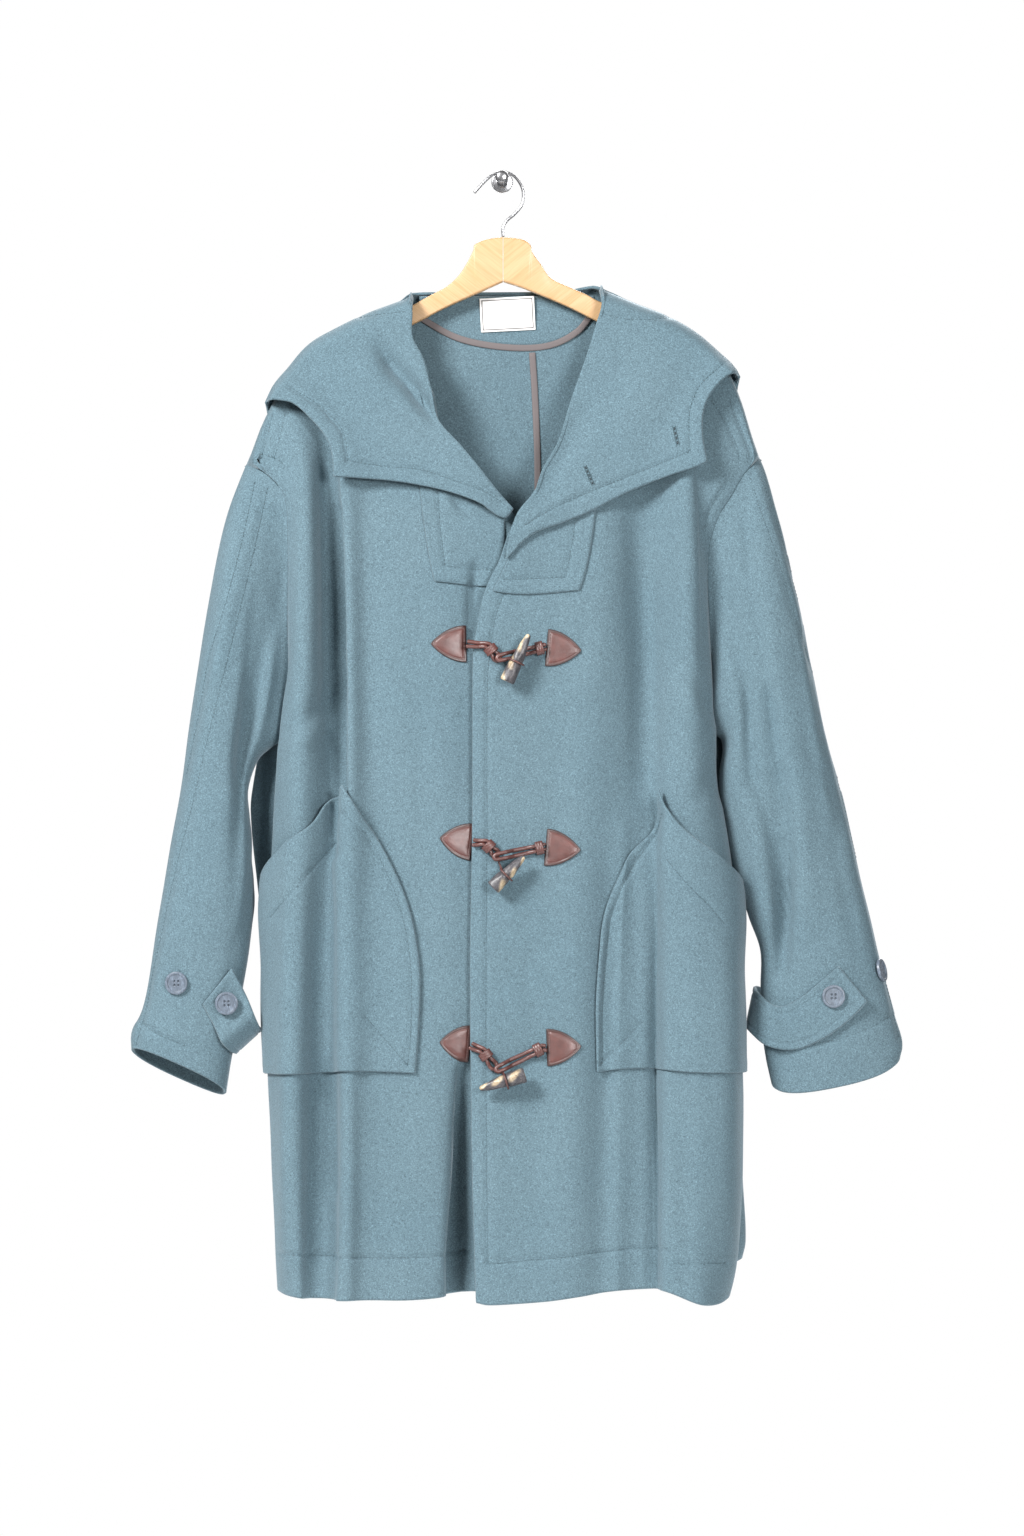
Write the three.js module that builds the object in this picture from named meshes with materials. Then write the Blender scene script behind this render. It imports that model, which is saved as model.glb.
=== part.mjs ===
// A wool duffle coat that hangs on a wooden hanger from a small wall hook.
// Millimetres, +Z up. The origin is at the wall hook, on the wall, and the wall is the plane y = 0.
// The coat faces -Y. "left" and "right" are the viewer's, and +X is to the viewer's right.
import * as THREE from 'three';

// Driving dimensions
const CLOTH = 3;
const PATCH_CLOTH = 2;
const SEAM_GAP = 0.4;
const LAY_GAP = 0.5;
const HANGER_Y = -45;
const HANGER_THICK = 12;
const WIRE_DIAMETER = 3;
const BUTTON_DIAMETER = 23;
const CORD_DIAMETER = 4;
const LEATHER = 2.2;

const MATERIALS = {
  wool: new THREE.MeshStandardMaterial({ color: 0x7797a3, roughness: 0.95, metalness: 0 }),
  tape: new THREE.MeshStandardMaterial({ color: 0x8a7c80, roughness: 0.8, metalness: 0 }),
  label: new THREE.MeshStandardMaterial({ color: 0xf2f1ee, roughness: 0.7, metalness: 0 }),
  leather: new THREE.MeshStandardMaterial({ color: 0x7d4a44, roughness: 0.45, metalness: 0 }),
  horn: new THREE.MeshStandardMaterial({ color: 0x7a7068, roughness: 0.35, metalness: 0 }),
  button: new THREE.MeshStandardMaterial({ color: 0x6f7a88, roughness: 0.4, metalness: 0 }),
  pine: new THREE.MeshStandardMaterial({ color: 0xf0d9b0, roughness: 0.5, metalness: 0 }),
  steel: new THREE.MeshStandardMaterial({ color: 0xb9bcc0, roughness: 0.3, metalness: 1 }),
};

const coat = new THREE.Group();

// Small tools

const mix = (a, b, t) => a + (b - a) * t;
const clamp = (v, low, high) => Math.min(high, Math.max(low, v));
const smooth = (low, high, v) => {
  const t = clamp((v - low) / (high - low), 0, 1);
  return t * t * (3 - 2 * t);
};
const bell = (v, middle, width) => Math.exp(-(((v - middle) / width) ** 2));
const range = (count) => Array.from({ length: count + 1 }, (_, i) => i / count);

// A smooth function through (stations[i], values[i]); past either end it keeps the end's value.
function track(stations, values) {
  const slope = stations.map((s, i) => {
    const a = Math.max(0, i - 1);
    const b = Math.min(stations.length - 1, i + 1);
    return (values[b] - values[a]) / (stations[b] - stations[a]);
  });
  const rising = stations[stations.length - 1] > stations[0];
  return (s) => {
    let i = 0;
    while (i < stations.length - 2 && (rising ? s > stations[i + 1] : s < stations[i + 1])) i++;
    const h = stations[i + 1] - stations[i];
    const t = clamp((s - stations[i]) / h, 0, 1);
    const t2 = t * t;
    const t3 = t2 * t;
    return values[i] * (2 * t3 - 3 * t2 + 1) + values[i + 1] * (3 * t2 - 2 * t3)
      + slope[i] * h * (t3 - 2 * t2 + t) + slope[i + 1] * h * (t3 - t2);
  };
}

// A smooth path through 2-D points [x, z]; the argument runs from 0 to 1 by length.
function path(points) {
  const reach = [0];
  for (let i = 1; i < points.length; i++) {
    reach.push(reach[i - 1] + Math.hypot(points[i][0] - points[i - 1][0], points[i][1] - points[i - 1][1]));
  }
  const total = reach[reach.length - 1];
  const x = track(reach, points.map((p) => p[0]));
  const z = track(reach, points.map((p) => p[1]));
  return (t) => [x(t * total), z(t * total)];
}

// A track that may turn sharply at the stations in `corners`.
function cornered(stations, values, corners) {
  const cuts = [0, ...corners, stations.length - 1];
  const pieces = cuts.slice(1).map((to, i) => track(stations.slice(cuts[i], to + 1), values.slice(cuts[i], to + 1)));
  return (s) => pieces[Math.max(0, cuts.slice(1, -1).filter((cut) => s > stations[cut]).length)](s);
}

const add = (a, b, k = 1) => [a[0] + b[0] * k, a[1] + b[1] * k, a[2] + b[2] * k];
const unit = (v) => {
  const size = Math.hypot(...v) || 1;
  return v.map((c) => c / size);
};
const cross = (a, b) => [
  a[1] * b[2] - a[2] * b[1],
  a[2] * b[0] - a[0] * b[2],
  a[0] * b[1] - a[1] * b[0],
];

// The outward normal of surface(u, v), whose u runs to +X on a front and whose v runs down.
function normalAt(surface, u, v, du, dv) {
  const along = add(surface(u + du, v), surface(u - du, v), -1);
  const down = add(surface(u, v + dv), surface(u, v - dv), -1);
  return unit(cross(down, along));
}

function meshOf(name, material, points, faces) {
  const geometry = new THREE.BufferGeometry();
  geometry.setAttribute('position', new THREE.Float32BufferAttribute(points.flat(), 3));
  geometry.setIndex(faces.flat());
  let volume = 0;
  for (const [a, b, c] of faces) {
    const n = cross(points[b], points[c]);
    volume += (points[a][0] * n[0] + points[a][1] * n[1] + points[a][2] * n[2]) / 6;
  }
  if (volume < 0) geometry.setIndex(faces.map(([a, b, c]) => [a, c, b]).flat());
  geometry.computeVertexNormals();
  const mesh = new THREE.Mesh(geometry, material);
  mesh.name = name;
  coat.add(mesh);
  return mesh;
}

// A cloth wall: the grid outer[row][column] and its inner copy, closed round the edges.
function wall(name, material, outer, inner, { ring = false } = {}) {
  const rows = outer.length;
  const columns = outer[0].length;
  const points = [...outer.flat(), ...inner.flat()];
  const faces = [];
  const id = (side, r, c) => side * rows * columns + r * columns + (c % columns);
  const quad = (a, b, c, d) => faces.push([a, b, c], [a, c, d]);
  const last = ring ? columns : columns - 1;
  for (let r = 0; r < rows - 1; r++) {
    for (let c = 0; c < last; c++) {
      quad(id(0, r, c), id(0, r + 1, c), id(0, r + 1, c + 1), id(0, r, c + 1));
      quad(id(1, r, c), id(1, r, c + 1), id(1, r + 1, c + 1), id(1, r + 1, c));
    }
  }
  for (let c = 0; c < last; c++) {
    quad(id(0, 0, c), id(0, 0, c + 1), id(1, 0, c + 1), id(1, 0, c));
    quad(id(0, rows - 1, c), id(1, rows - 1, c), id(1, rows - 1, c + 1), id(0, rows - 1, c + 1));
  }
  if (!ring) {
    for (let r = 0; r < rows - 1; r++) {
      quad(id(0, r, 0), id(1, r, 0), id(1, r + 1, 0), id(0, r + 1, 0));
      quad(id(0, r, last), id(0, r + 1, last), id(1, r + 1, last), id(1, r, last));
    }
  }
  return meshOf(name, material, points, faces);
}

// A panel is a sheet through named features that run down the garment. A feature's table has a row
// for each height: [z, x, y], where y is counted from the panel's general depth at that height.
// Between features the sheet is a smooth curve.
class Panel {
  constructor(features, depth) {
    this.depth = depth;
    this.count = features.length - 1;
    this.x = features.map((rows) => track(rows.map((r) => r[0]), rows.map((r) => r[1])));
    this.y = features.map((rows) => track(rows.map((r) => r[0]), rows.map((r) => r[2])));
    this.index = features.map((_, i) => i);
  }

  point(t, z) {
    const x = track(this.index, this.x.map((f) => f(z)))(t);
    const y = this.depth(z) + track(this.index, this.y.map((f) => f(z)))(t);
    return [x, y, z];
  }

  // The feature number at x, searched from feature `from` on, where x only grows.
  find(x, z, from = 1) {
    let low = from;
    let high = this.count + 0.5;
    for (let i = 0; i < 40; i++) {
      const middle = (low + high) / 2;
      if (this.point(middle, z)[0] < x) low = middle;
      else high = middle;
    }
    return (low + high) / 2;
  }
}

// Body fronts and back

// How far the body's front stands off the wall, by height: [z, y].
const FRONT_DEPTH = [
  [-100, -58], [-170, -64], [-200, -72], [-250, -86], [-300, -96], [-350, -102], [-400, -106],
  [-500, -112], [-600, -118], [-700, -124], [-800, -130], [-900, -136], [-1000, -141], [-1124, -146],
];
const frontDepth = track(FRONT_DEPTH.map((r) => r[0]), FRONT_DEPTH.map((r) => r[1]));

// The seam over the shoulder lies in this plane, and the cloth rolls down from it on both sides.
const SHOULDER_ROLL = 13;

// Features of the front on the viewer's left, from the armhole and side seam to the hidden edge.
// Rows: [z, x, dip], where dip is how far the cloth lies behind the front's general depth.
const LEFT_FEATURES = {
  seam: [[-289, -258, 18], [-300, -238, 14], [-318, -221, 11], [-345, -215, 13], [-450, -214, 22],
    [-520, -215.5, 30], [-550, -216.5, 38], [-562, -217, 44], [-620, -222, 52], [-700, -226, 60],
    [-863, -228, 70], [-1043, -222, 76], [-1124, -216, 78]],
  edge: [[-228, -232, 14], [-262, -232, 10], [-289, -226, 8], [-318, -214, 7], [-360, -210, 10],
    [-480, -210, 12], [-525, -219, 18], [-562, -223, 22], [-620, -227, 28], [-684, -231, 34],
    [-760, -235, 38], [-863, -236, 40], [-950, -232, 42], [-1043, -228, 42], [-1124, -223, 42]],
  column: [[-201, -217, 6], [-232, -214, 4], [-268, -204, 1], [-304, -196, 0], [-480, -194, 0],
    [-560, -202, 1], [-700, -206, 3], [-863, -212, 4], [-1000, -208, 4], [-1124, -203, 4]],
  valley: [[-173, -193, 4], [-215, -190, 5], [-262, -182, 10], [-304, -176, 16], [-389, -171, 18],
    [-510, -167, 18], [-607, -166, 15], [-700, -172, 8], [-895, -179, 7], [-1024, -182, 9], [-1124, -183, 10]],
  crest: [[-158, -168, 2], [-190, -167, 0], [-250, -166, -2], [-304, -164, -4], [-389, -160, -5],
    [-510, -156, -5], [-607, -155, -5], [-700, -154, -3], [-895, -152, -4], [-1024, -158, -6],
    [-1080, -163, -6], [-1124, -165, -6]],
  flank: [[-143, -136, 2], [-180, -136, 0], [-300, -136, 2], [-600, -128, 3], [-900, -124, 3], [-1124, -132, 3]],
  neck: [[-127.5, -103, 0], [-170, -102, 0], [-300, -98, 0], [-600, -90, 0], [-900, -86, 0], [-1124, -92, 1]],
  chest: [[-252, -73, 0], [-300, -66, 0], [-600, -52, 0], [-900, -48, 0], [-1006, -46, 0], [-1080, -50, 1],
    [-1124, -48, 4]],
  under: [[-296, -28, 3], [-400, -27, 3], [-700, -27, 3], [-900, -28, 4], [-1006, -34, 11],
    [-1080, -37, 20], [-1124, -30, 24]],
  hidden: [[-350, 18, 6], [-400, 38, 7], [-700, 38, 7], [-900, 38, 9], [-1124, 38, 30]],
};

// Features of the front on the viewer's right, from its lapped edge to the side seam.
const RIGHT_FEATURES = {
  lap: [[-361, 7, -7], [-369, 4, -7], [-390, -3, -8], [-410, -13, -8], [-427, -19, -8], [-452, -24, -8],
    [-475, -28, -8], [-546, -29, -8], [-650, -29, -8], [-787, -31, -8], [-913, -30, -8], [-1024, -28, -8],
    [-1124, -25, -8]],
  stitch: [[-340, 28, -7], [-390, 14, -9], [-427, -2, -9], [-475, -12, -9], [-650, -13, -9], [-913, -13, -9],
    [-1124, -9, -9]],
  chest: [[-264, 74, -3], [-350, 50, -5], [-475, 40, -6], [-700, 38, -6], [-900, 38, -6], [-1124, 40, -6]],
  neck: [[-118.5, 107, 0], [-170, 106, -1], [-300, 96, -3], [-600, 88, -4], [-900, 78, -3], [-1124, 78, -3]],
  valley: [[-134.5, 138, 1], [-180, 139, 1], [-300, 141, 4], [-450, 139, 6], [-600, 134, 7], [-700, 124, 7],
    [-860, 113, 9], [-1000, 112, 9], [-1124, 114, 8]],
  ridge: [[-149, 173, 1], [-195, 174, 1], [-268, 180, -3], [-389, 183, -4], [-500, 178, -3], [-600, 172, -4],
    [-700, 160, -6], [-860, 152, -6], [-1000, 155, -6], [-1124, 158, -5]],
  flat: [[-168, 202, 4], [-215, 203, 5], [-268, 201, 3], [-300, 196, 3], [-389, 196, 4], [-500, 199, 4],
    [-600, 200, 3], [-700, 205, 0], [-860, 212, 0], [-1000, 208, 1], [-1124, 200, 2]],
  edge: [[-194, 228, 8], [-240, 229, 10], [-290, 222, 8], [-322, 214, 7], [-350, 206, 8], [-389, 203, 11],
    [-462, 207, 13], [-547, 212, 20], [-620, 216, 28], [-665, 222, 32], [-704, 228, 36], [-747, 232, 38],
    [-820, 236, 40], [-900, 239, 40], [-988, 238, 42], [-1042, 235, 42], [-1085, 230, 42], [-1124, 221, 42]],
  seam: [[-283, 260, 18], [-300, 244, 15], [-322, 231, 13], [-345, 217, 13], [-384, 207.5, 16],
    [-462, 210, 25], [-520, 212, 34], [-545, 212, 44], [-620, 213, 52], [-700, 221, 60], [-900, 230, 72],
    [-1042, 226, 76], [-1124, 215, 78]],
};

// The back's features, rows [z, x, y]; its two side seams are taken from the fronts.
const BACK_FEATURES = {
  edge_left: [[-228, -232, -34], [-289, -226, -33], [-320, -214, -30], [-400, -210, -27], [-520, -218, -30],
    [-620, -227, -34], [-760, -234, -34], [-900, -235, -32], [-1095, -222, -30]],
  flat_left: [[-201, -217, -31], [-240, -212, -29], [-300, -200, -26], [-500, -195, -21], [-700, -205, -18],
    [-900, -210, -16], [-1095, -200, -15]],
  blade_left: [[-158, -168, -30], [-200, -166, -28], [-300, -158, -26], [-600, -150, -19], [-900, -150, -13],
    [-1095, -150, -11]],
  neck_left: [[-127.5, -103, -30], [-172, -100, -30], [-300, -88, -27], [-600, -80, -20], [-900, -75, -17],
    [-1095, -74, -16]],
  mid_left: [[-161, -42, -31], [-215, -40, -30], [-300, -35, -28], [-600, -25, -19], [-900, -24, -14],
    [-1095, -24, -12]],
  centre: [[-170, 30, -32], [-215, 33, -31], [-300, 36, -29], [-600, 34, -21], [-900, 32, -17], [-1095, 30, -16]],
  mid_right: [[-155, 74, -31], [-215, 78, -30], [-300, 82, -28], [-600, 84, -19], [-900, 84, -14], [-1095, 84, -12]],
  neck_right: [[-118.5, 107, -30], [-165, 106, -30], [-300, 112, -27], [-600, 118, -20], [-900, 120, -17],
    [-1095, 122, -16]],
  blade_right: [[-149, 173, -30], [-190, 172, -28], [-300, 165, -26], [-600, 162, -18], [-900, 168, -13],
    [-1095, 172, -11]],
  flat_right: [[-168, 202, -31], [-215, 203, -29], [-300, 198, -26], [-500, 199, -21], [-700, 206, -18],
    [-900, 214, -16], [-1092, 220, -15]],
  edge_right: [[-194, 228, -34], [-240, 229, -33], [-290, 222, -33], [-350, 206, -29], [-462, 207, -28],
    [-547, 212, -31], [-620, 217, -34], [-760, 234, -34], [-900, 241, -32], [-1000, 243, -30],
    [-1075, 246, -28], [-1092, 243, -27]],
};

// The roll ends this far past the neck point, in feature numbers.
const NECK_FADE = 0.15;

// A body panel: its top edge runs from feature to feature, and it rolls over at the shoulder.
class BodyPanel extends Panel {
  constructor(features, { depth, out, hem, shoulderFrom, shoulderTo, seamY, necks }) {
    const lists = Object.values(features);
    super(lists, depth);
    this.out = out;
    this.seamY = seamY;
    this.top = cornered(this.index, lists.map((rows) => rows[0][0]), necks);
    this.hem = track(this.index, hem);
    this.shoulder = (t) => smooth(shoulderFrom - NECK_FADE, shoulderFrom, t)
      * (1 - smooth(shoulderTo, shoulderTo + NECK_FADE, t));
  }

  point(t, z) {
    const p = super.point(t, z);
    const fall = clamp((this.top(t) - z) / SHOULDER_ROLL, 0, 1);
    const rolled = Math.sqrt(1 - (1 - fall) ** 2);
    const y = mix(this.seamY, p[1], rolled);
    return [p[0], mix(p[1], y, this.shoulder(t)), z];
  }

  normal(t, z) {
    const low = this.hem(t);
    const n = normalAt((a, b) => this.point(a, b), t, clamp(z, low + 1, this.top(t) - 1), 0.02, -1);
    return n.map((c) => c * this.out);
  }

  lifted(t, z, lift) {
    return add(this.point(t, z), this.normal(t, z), lift);
  }

  // The inner face lies one cloth behind the outer one, and square below it at the shoulder seam.
  inner(t, z) {
    const near = this.shoulder(t) * (1 - smooth(0, SHOULDER_ROLL, this.top(t) - z));
    const n = this.normal(t, z).map((c) => -c);
    const [a, b] = [t - 0.05, t + 0.05].map((s) => this.point(s, this.top(s)));
    const below = unit([b[2] - a[2], 0, a[0] - b[0]]);
    return add(this.point(t, z), unit(add(n.map((c) => c * (1 - near)), below, near)), CLOTH);
  }

  // The highest and lowest heights at feature number t, with `drop` the share of the way down.
  height(t, drop) {
    return mix(this.top(t), this.hem(t), drop);
  }

  build(name, columns, drops) {
    const outer = drops.map((drop) => columns.map((t) => this.point(t, this.height(t, drop))));
    const inner = drops.map((drop) => columns.map((t) => this.inner(t, this.height(t, drop))));
    return wall(name, MATERIALS.wool, outer, inner);
  }
}

const leftFront = new BodyPanel(
  LEFT_FEATURES,
  {
    depth: frontDepth, out: 1, shoulderFrom: 0, shoulderTo: 6, necks: [6], seamY: HANGER_Y - SEAM_GAP / 2,
    hem: [-1117, -1118, -1122, -1123, -1124, -1124, -1124, -1121, -1118, -1117],
  },
);
const rightFront = new BodyPanel(
  RIGHT_FEATURES,
  {
    depth: frontDepth, out: 1, shoulderFrom: 3, shoulderTo: 8.5, necks: [3], seamY: HANGER_Y - SEAM_GAP / 2,
    hem: [-1126, -1128, -1125, -1120, -1115, -1114, -1129, -1124, -1100],
  },
);

// Shares of the height at which rows are cut; the first few follow the shoulder's roll.
const UNDERARM_DROP = 0.33;
const ARMHOLE_DROPS = [0, 0.002, 0.01, 0.03, 0.055, 0.085, 0.12, 0.16, 0.2, 0.235, 0.27, 0.3, UNDERARM_DROP];
const BODY_DROPS = [...ARMHOLE_DROPS, 0.39, 0.45, 0.52, 0.59, 0.66, 0.73, 0.8, 0.87, 0.94, 1];

// The back takes its side seams from the fronts, one gap behind them, and is open at the armholes.
const ARMHOLE_BACK = [[0, 0], [0.05, 8], [0.2, 20], [0.5, 34], [0.8, 36], [0.93, 22], [1, 0]];
const armholeBack = track(ARMHOLE_BACK.map((r) => r[0]), ARMHOLE_BACK.map((r) => r[1]));
function backSeam(front, column) {
  return BODY_DROPS.map((drop) => {
    const z = front.height(column, drop);
    const p = front.point(column, z);
    return [z, p[0], p[1] + SEAM_GAP * 1.5 + armholeBack(clamp(drop / UNDERARM_DROP, 0, 1))];
  });
}
const back = new BodyPanel(
  {
    seam_left: backSeam(leftFront, 0),
    ...BACK_FEATURES,
    seam_right: backSeam(rightFront, rightFront.count),
  },
  {
    depth: () => 0, out: -1, shoulderFrom: 0, shoulderTo: 12.5, necks: [4, 8], seamY: HANGER_Y + SEAM_GAP / 2,
    hem: [-1117, -1110, -1099, -1096, -1098, -1098, -1096, -1097, -1098, -1096, -1094, -1092, -1100],
  },
);
// Between the two neck points the back is a plain neck edge, with no shoulder roll.
const overShoulder = back.shoulder;
back.shoulder = (t) => overShoulder(t) * (1 - smooth(4, 4 + NECK_FADE, t) * (1 - smooth(8 - NECK_FADE, 8, t)));

const LEFT_COLUMNS = [0, 0.5, 1, 1.5, 2, 2.5, 3, 3.5, 4, 4.5, 5, 5.5, 6, 6 + NECK_FADE, 7, 8, 9];
leftFront.build('front_left', LEFT_COLUMNS, BODY_DROPS);
const RIGHT_COLUMNS = [0, 1, 2, 3 - NECK_FADE, 3, 3.5, 4, 4.5, 5, 5.5, 6, 6.5, 7, 7.5, 8];
rightFront.build('front_right', RIGHT_COLUMNS, BODY_DROPS);
const BACK_COLUMNS = [0, 0.5, 1, 2, 3, 4, 4 + NECK_FADE, 5, 5.5, 6, 6.5, 7, 8 - NECK_FADE, 8, 9, 10, 11, 11.5, 12];
back.build('back', BACK_COLUMNS, BODY_DROPS);

// Sleeves

const outwardAt = (grid, r, c, ring) => {
  const rows = grid.length;
  const columns = grid[0].length;
  const at = (i, j) => grid[clamp(i, 0, rows - 1)][ring ? (j + columns) % columns : clamp(j, 0, columns - 1)];
  const along = add(at(r, c + 1), at(r, c - 1), -1);
  const down = add(at(r + 1, c), at(r - 1, c), -1);
  return unit(cross(down, along));
};
const offset = (grid, lift, ring = false) => grid.map((row, r) => row.map((p, c) => {
  const by = typeof lift === 'function' ? lift(r, c) : lift;
  return add(p, outwardAt(grid, r, c, ring), by);
}));

// Rings from the armhole to the cuff. Columns: outer x, z and inner x, z of the silhouette, front y,
// back y, how much of the armhole's own outline is left, where the long crease crosses the front
// (0 outer edge, 1 inner edge), its depth, and how far the front hangs below the back.
const SLEEVE_LEFT = [
  [-259, -291, -218, -562, -88, -36, 1, 0.5, 0, 0],
  [-262, -299, -223, -566, -96, -33, 0.72, 0.5, 5, 0],
  [-268, -316, -232, -571, -106, -29, 0.36, 0.6, 9, 0],
  [-277, -346, -242, -577, -112, -26, 0.1, 0.74, 14, 0],
  [-288, -394, -251, -585, -114, -25, 0, 0.82, 16, 0],
  [-298, -447, -258, -600, -114, -25, 0, 0.84, 15, 0],
  [-306, -498, -261, -620, -113, -26, 0, 0.84, 13, 0],
  [-313, -553, -258, -645, -112, -27, 0, 0.82, 10, 0],
  [-323, -617, -254, -678, -111, -29, 0, 0.8, 6, 0],
  [-334, -680, -252, -725, -111, -32, 0, 0.8, 3, 0],
  [-345, -749, -256, -782, -111, -36, 0, 0.8, 1, 0],
  [-353, -798, -262, -830, -110, -40, 0, 0.8, 0, 0],
  [-361, -838, -268, -868, -109, -44, 0, 0.8, 0, -3],
  [-371, -860, -273, -895, -108, -47, 0, 0.8, 0, -6],
  [-372, -879, -277, -921, -107, -50, 0, 0.8, 0, -9],
];
const SLEEVE_RIGHT = [
  [261, -285, 213, -552, -88, -36, 1, 0.5, 0, 0],
  [264, -294, 218, -555, -96, -33, 0.72, 0.5, 5, 0],
  [270, -311, 226, -559, -106, -29, 0.36, 0.55, 8, 0],
  [279, -345, 236, -564, -112, -26, 0.1, 0.62, 11, 0],
  [290, -390, 243, -569, -114, -25, 0, 0.66, 12, 0],
  [301, -440, 245, -583, -114, -25, 0, 0.68, 12, 0],
  [311, -490, 241, -603, -113, -26, 0, 0.68, 12, 0],
  [323, -547, 236, -632, -112, -27, 0, 0.68, 12, 0],
  [337, -610, 236, -670, -111, -29, 0, 0.64, 11, 0],
  [350, -665, 243, -708, -111, -32, 0, 0.64, 10, 0],
  [364, -722, 255, -744, -111, -36, 0, 0.7, 8, 2],
  [376, -770, 265, -777, -110, -40, 0, 0.8, 6, 5],
  [386, -812, 262, -814, -109, -44, 0, 0.85, 3, 9],
  [395, -845, 259, -850, -108, -47, 0, 0.85, 2, 13],
  [402, -870, 263, -885, -108, -49, 0, 0.85, 1, 16],
  [400, -884, 270, -911, -107, -50, 0, 0.85, 0, 17],
];
const ARMHOLE_GAP = { left: 0.65, right: 1.2 };
const ARMHOLE_CAP = 0.07;
const SLEEVE_SQUARE = 0.82;
const CREASE_WIDTH = 0.09;

const power = (v, e) => Math.sign(v) * Math.abs(v) ** e;

class Sleeve {
  constructor(rows, front, frontColumn, backColumn) {
    const columns = rows[0].map((_, i) => track(rows.map((_, r) => r), rows.map((row) => row[i])));
    this.at = (r) => columns.map((f) => f(r));
    this.last = rows.length - 1;
    this.side = Math.sign(rows[0][0]);
    this.armhole = (turn) => {
      const drop = UNDERARM_DROP * (1 - Math.cos(turn)) / 2;
      const z = front.height(frontColumn, drop);
      const p = turn <= Math.PI ? front.point(frontColumn, z) : back.point(backColumn, z);
      const level = 1 - smooth(0, ARMHOLE_CAP, drop);
      const gap = this.side < 0 ? ARMHOLE_GAP.left : ARMHOLE_GAP.right;
      return add(p, [this.side * gap, 0, -gap * 3 * level]);
    };
  }

  // turn 0 is the outer edge, a quarter turn the front, a half turn the inner edge.
  point(r, turn) {
    const [ox, oz, ix, iz, front, rear, own, creaseAt, creaseDepth, sag] = this.at(r);
    const c = power(Math.cos(turn), SLEEVE_SQUARE);
    const s = power(Math.sin(turn), SLEEVE_SQUARE);
    const middle = (front + rear) / 2;
    const share = (1 - c) / 2;
    const crease = creaseDepth * bell(share, creaseAt, CREASE_WIDTH) * Math.max(0, s) ** 0.5;
    const oval = [
      mix(ox, ix, share),
      middle + (front - middle) * s + crease,
      mix(oz, iz, share) - sag * s,
    ];
    return own > 0 ? add(oval.map((v) => v * (1 - own)), this.armhole(turn), own) : oval;
  }

  // The place on the sleeve's front at x, z: [ring number, turn].
  find(x, z) {
    const search = (low, high, above) => {
      for (let i = 0; i < 30; i++) {
        const middle = (low + high) / 2;
        if (above(middle)) low = middle;
        else high = middle;
      }
      return (low + high) / 2;
    };
    const ringAt = (turn) => search(1, this.last + 1, (r) => this.point(r, turn)[2] > z);
    const turn = search(0.05, Math.PI - 0.05, (a) => (this.point(ringAt(a), a)[0] - x) * this.side > 0);
    return [ringAt(turn), turn];
  }

  // A point a given lift off the front at x, z, and the outward direction there.
  onFront(x, z, lift) {
    const [r, turn] = this.find(x, z);
    const n = normalAt((a, b) => this.point(b, a), turn, r, -0.05 * this.side, 0.05);
    return { place: add(this.point(r, turn), n, lift), way: n };
  }

  grid(rows, turns) {
    return rows.map((r) => {
      const ring = turns.map((turn) => this.point(r, turn));
      return this.side < 0 ? ring : [...ring].reverse();
    });
  }
}

const leftSleeve = new Sleeve(SLEEVE_LEFT, leftFront, 0, 0);
const rightSleeve = new Sleeve(SLEEVE_RIGHT, rightFront, rightFront.count, back.count);
// The rings' points lie opposite the rows of the body's armhole, so that the seam is even.
const frontTurns = ARMHOLE_DROPS.map((drop) => Math.acos(1 - 2 * drop / UNDERARM_DROP));
const ringTurns = [...frontTurns, ...frontTurns.slice(1, -1).map((turn) => 2 * Math.PI - turn).reverse()];
for (const [name, sleeve] of [['sleeve_left', leftSleeve], ['sleeve_right', rightSleeve]]) {
  const rows = [0, 0.5, ...range(sleeve.last - 1).map((s) => 1 + s * (sleeve.last - 1))];
  const outer = sleeve.grid(rows, ringTurns);
  wall(name, MATERIALS.wool, outer, offset(outer, -CLOTH, true), { ring: true });
}

// Hood

// A sheet between four edges, each a path: top and foot run from the inner to the outer edge,
// inner and outer run down from the top to the foot.
function between({ top, foot, inner, outer }) {
  const corner = [top(0), top(1), foot(0), foot(1)];
  return (u, v) => [0, 1].map((k) => mix(top(u)[k], foot(u)[k], v) + mix(inner(v)[k], outer(v)[k], u)
    - mix(mix(corner[0][k], corner[1][k], u), mix(corner[2][k], corner[3][k], u), v));
}

// The highest line of the hood over the shoulders, as seen from the front.
const HOOD_LINE_LEFT = [[-91, -118], [-98, -122], [-138, -137], [-173, -154], [-197, -169], [-214, -189],
  [-229, -207], [-238, -226]];
const HOOD_LINE_RIGHT = [[99, -111], [134, -126], [169, -140], [198, -157], [222, -178], [234, -190],
  [239, -200]];
const HOOD_ROLL = 17;
const HOOD_LIFT = 12;

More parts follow.
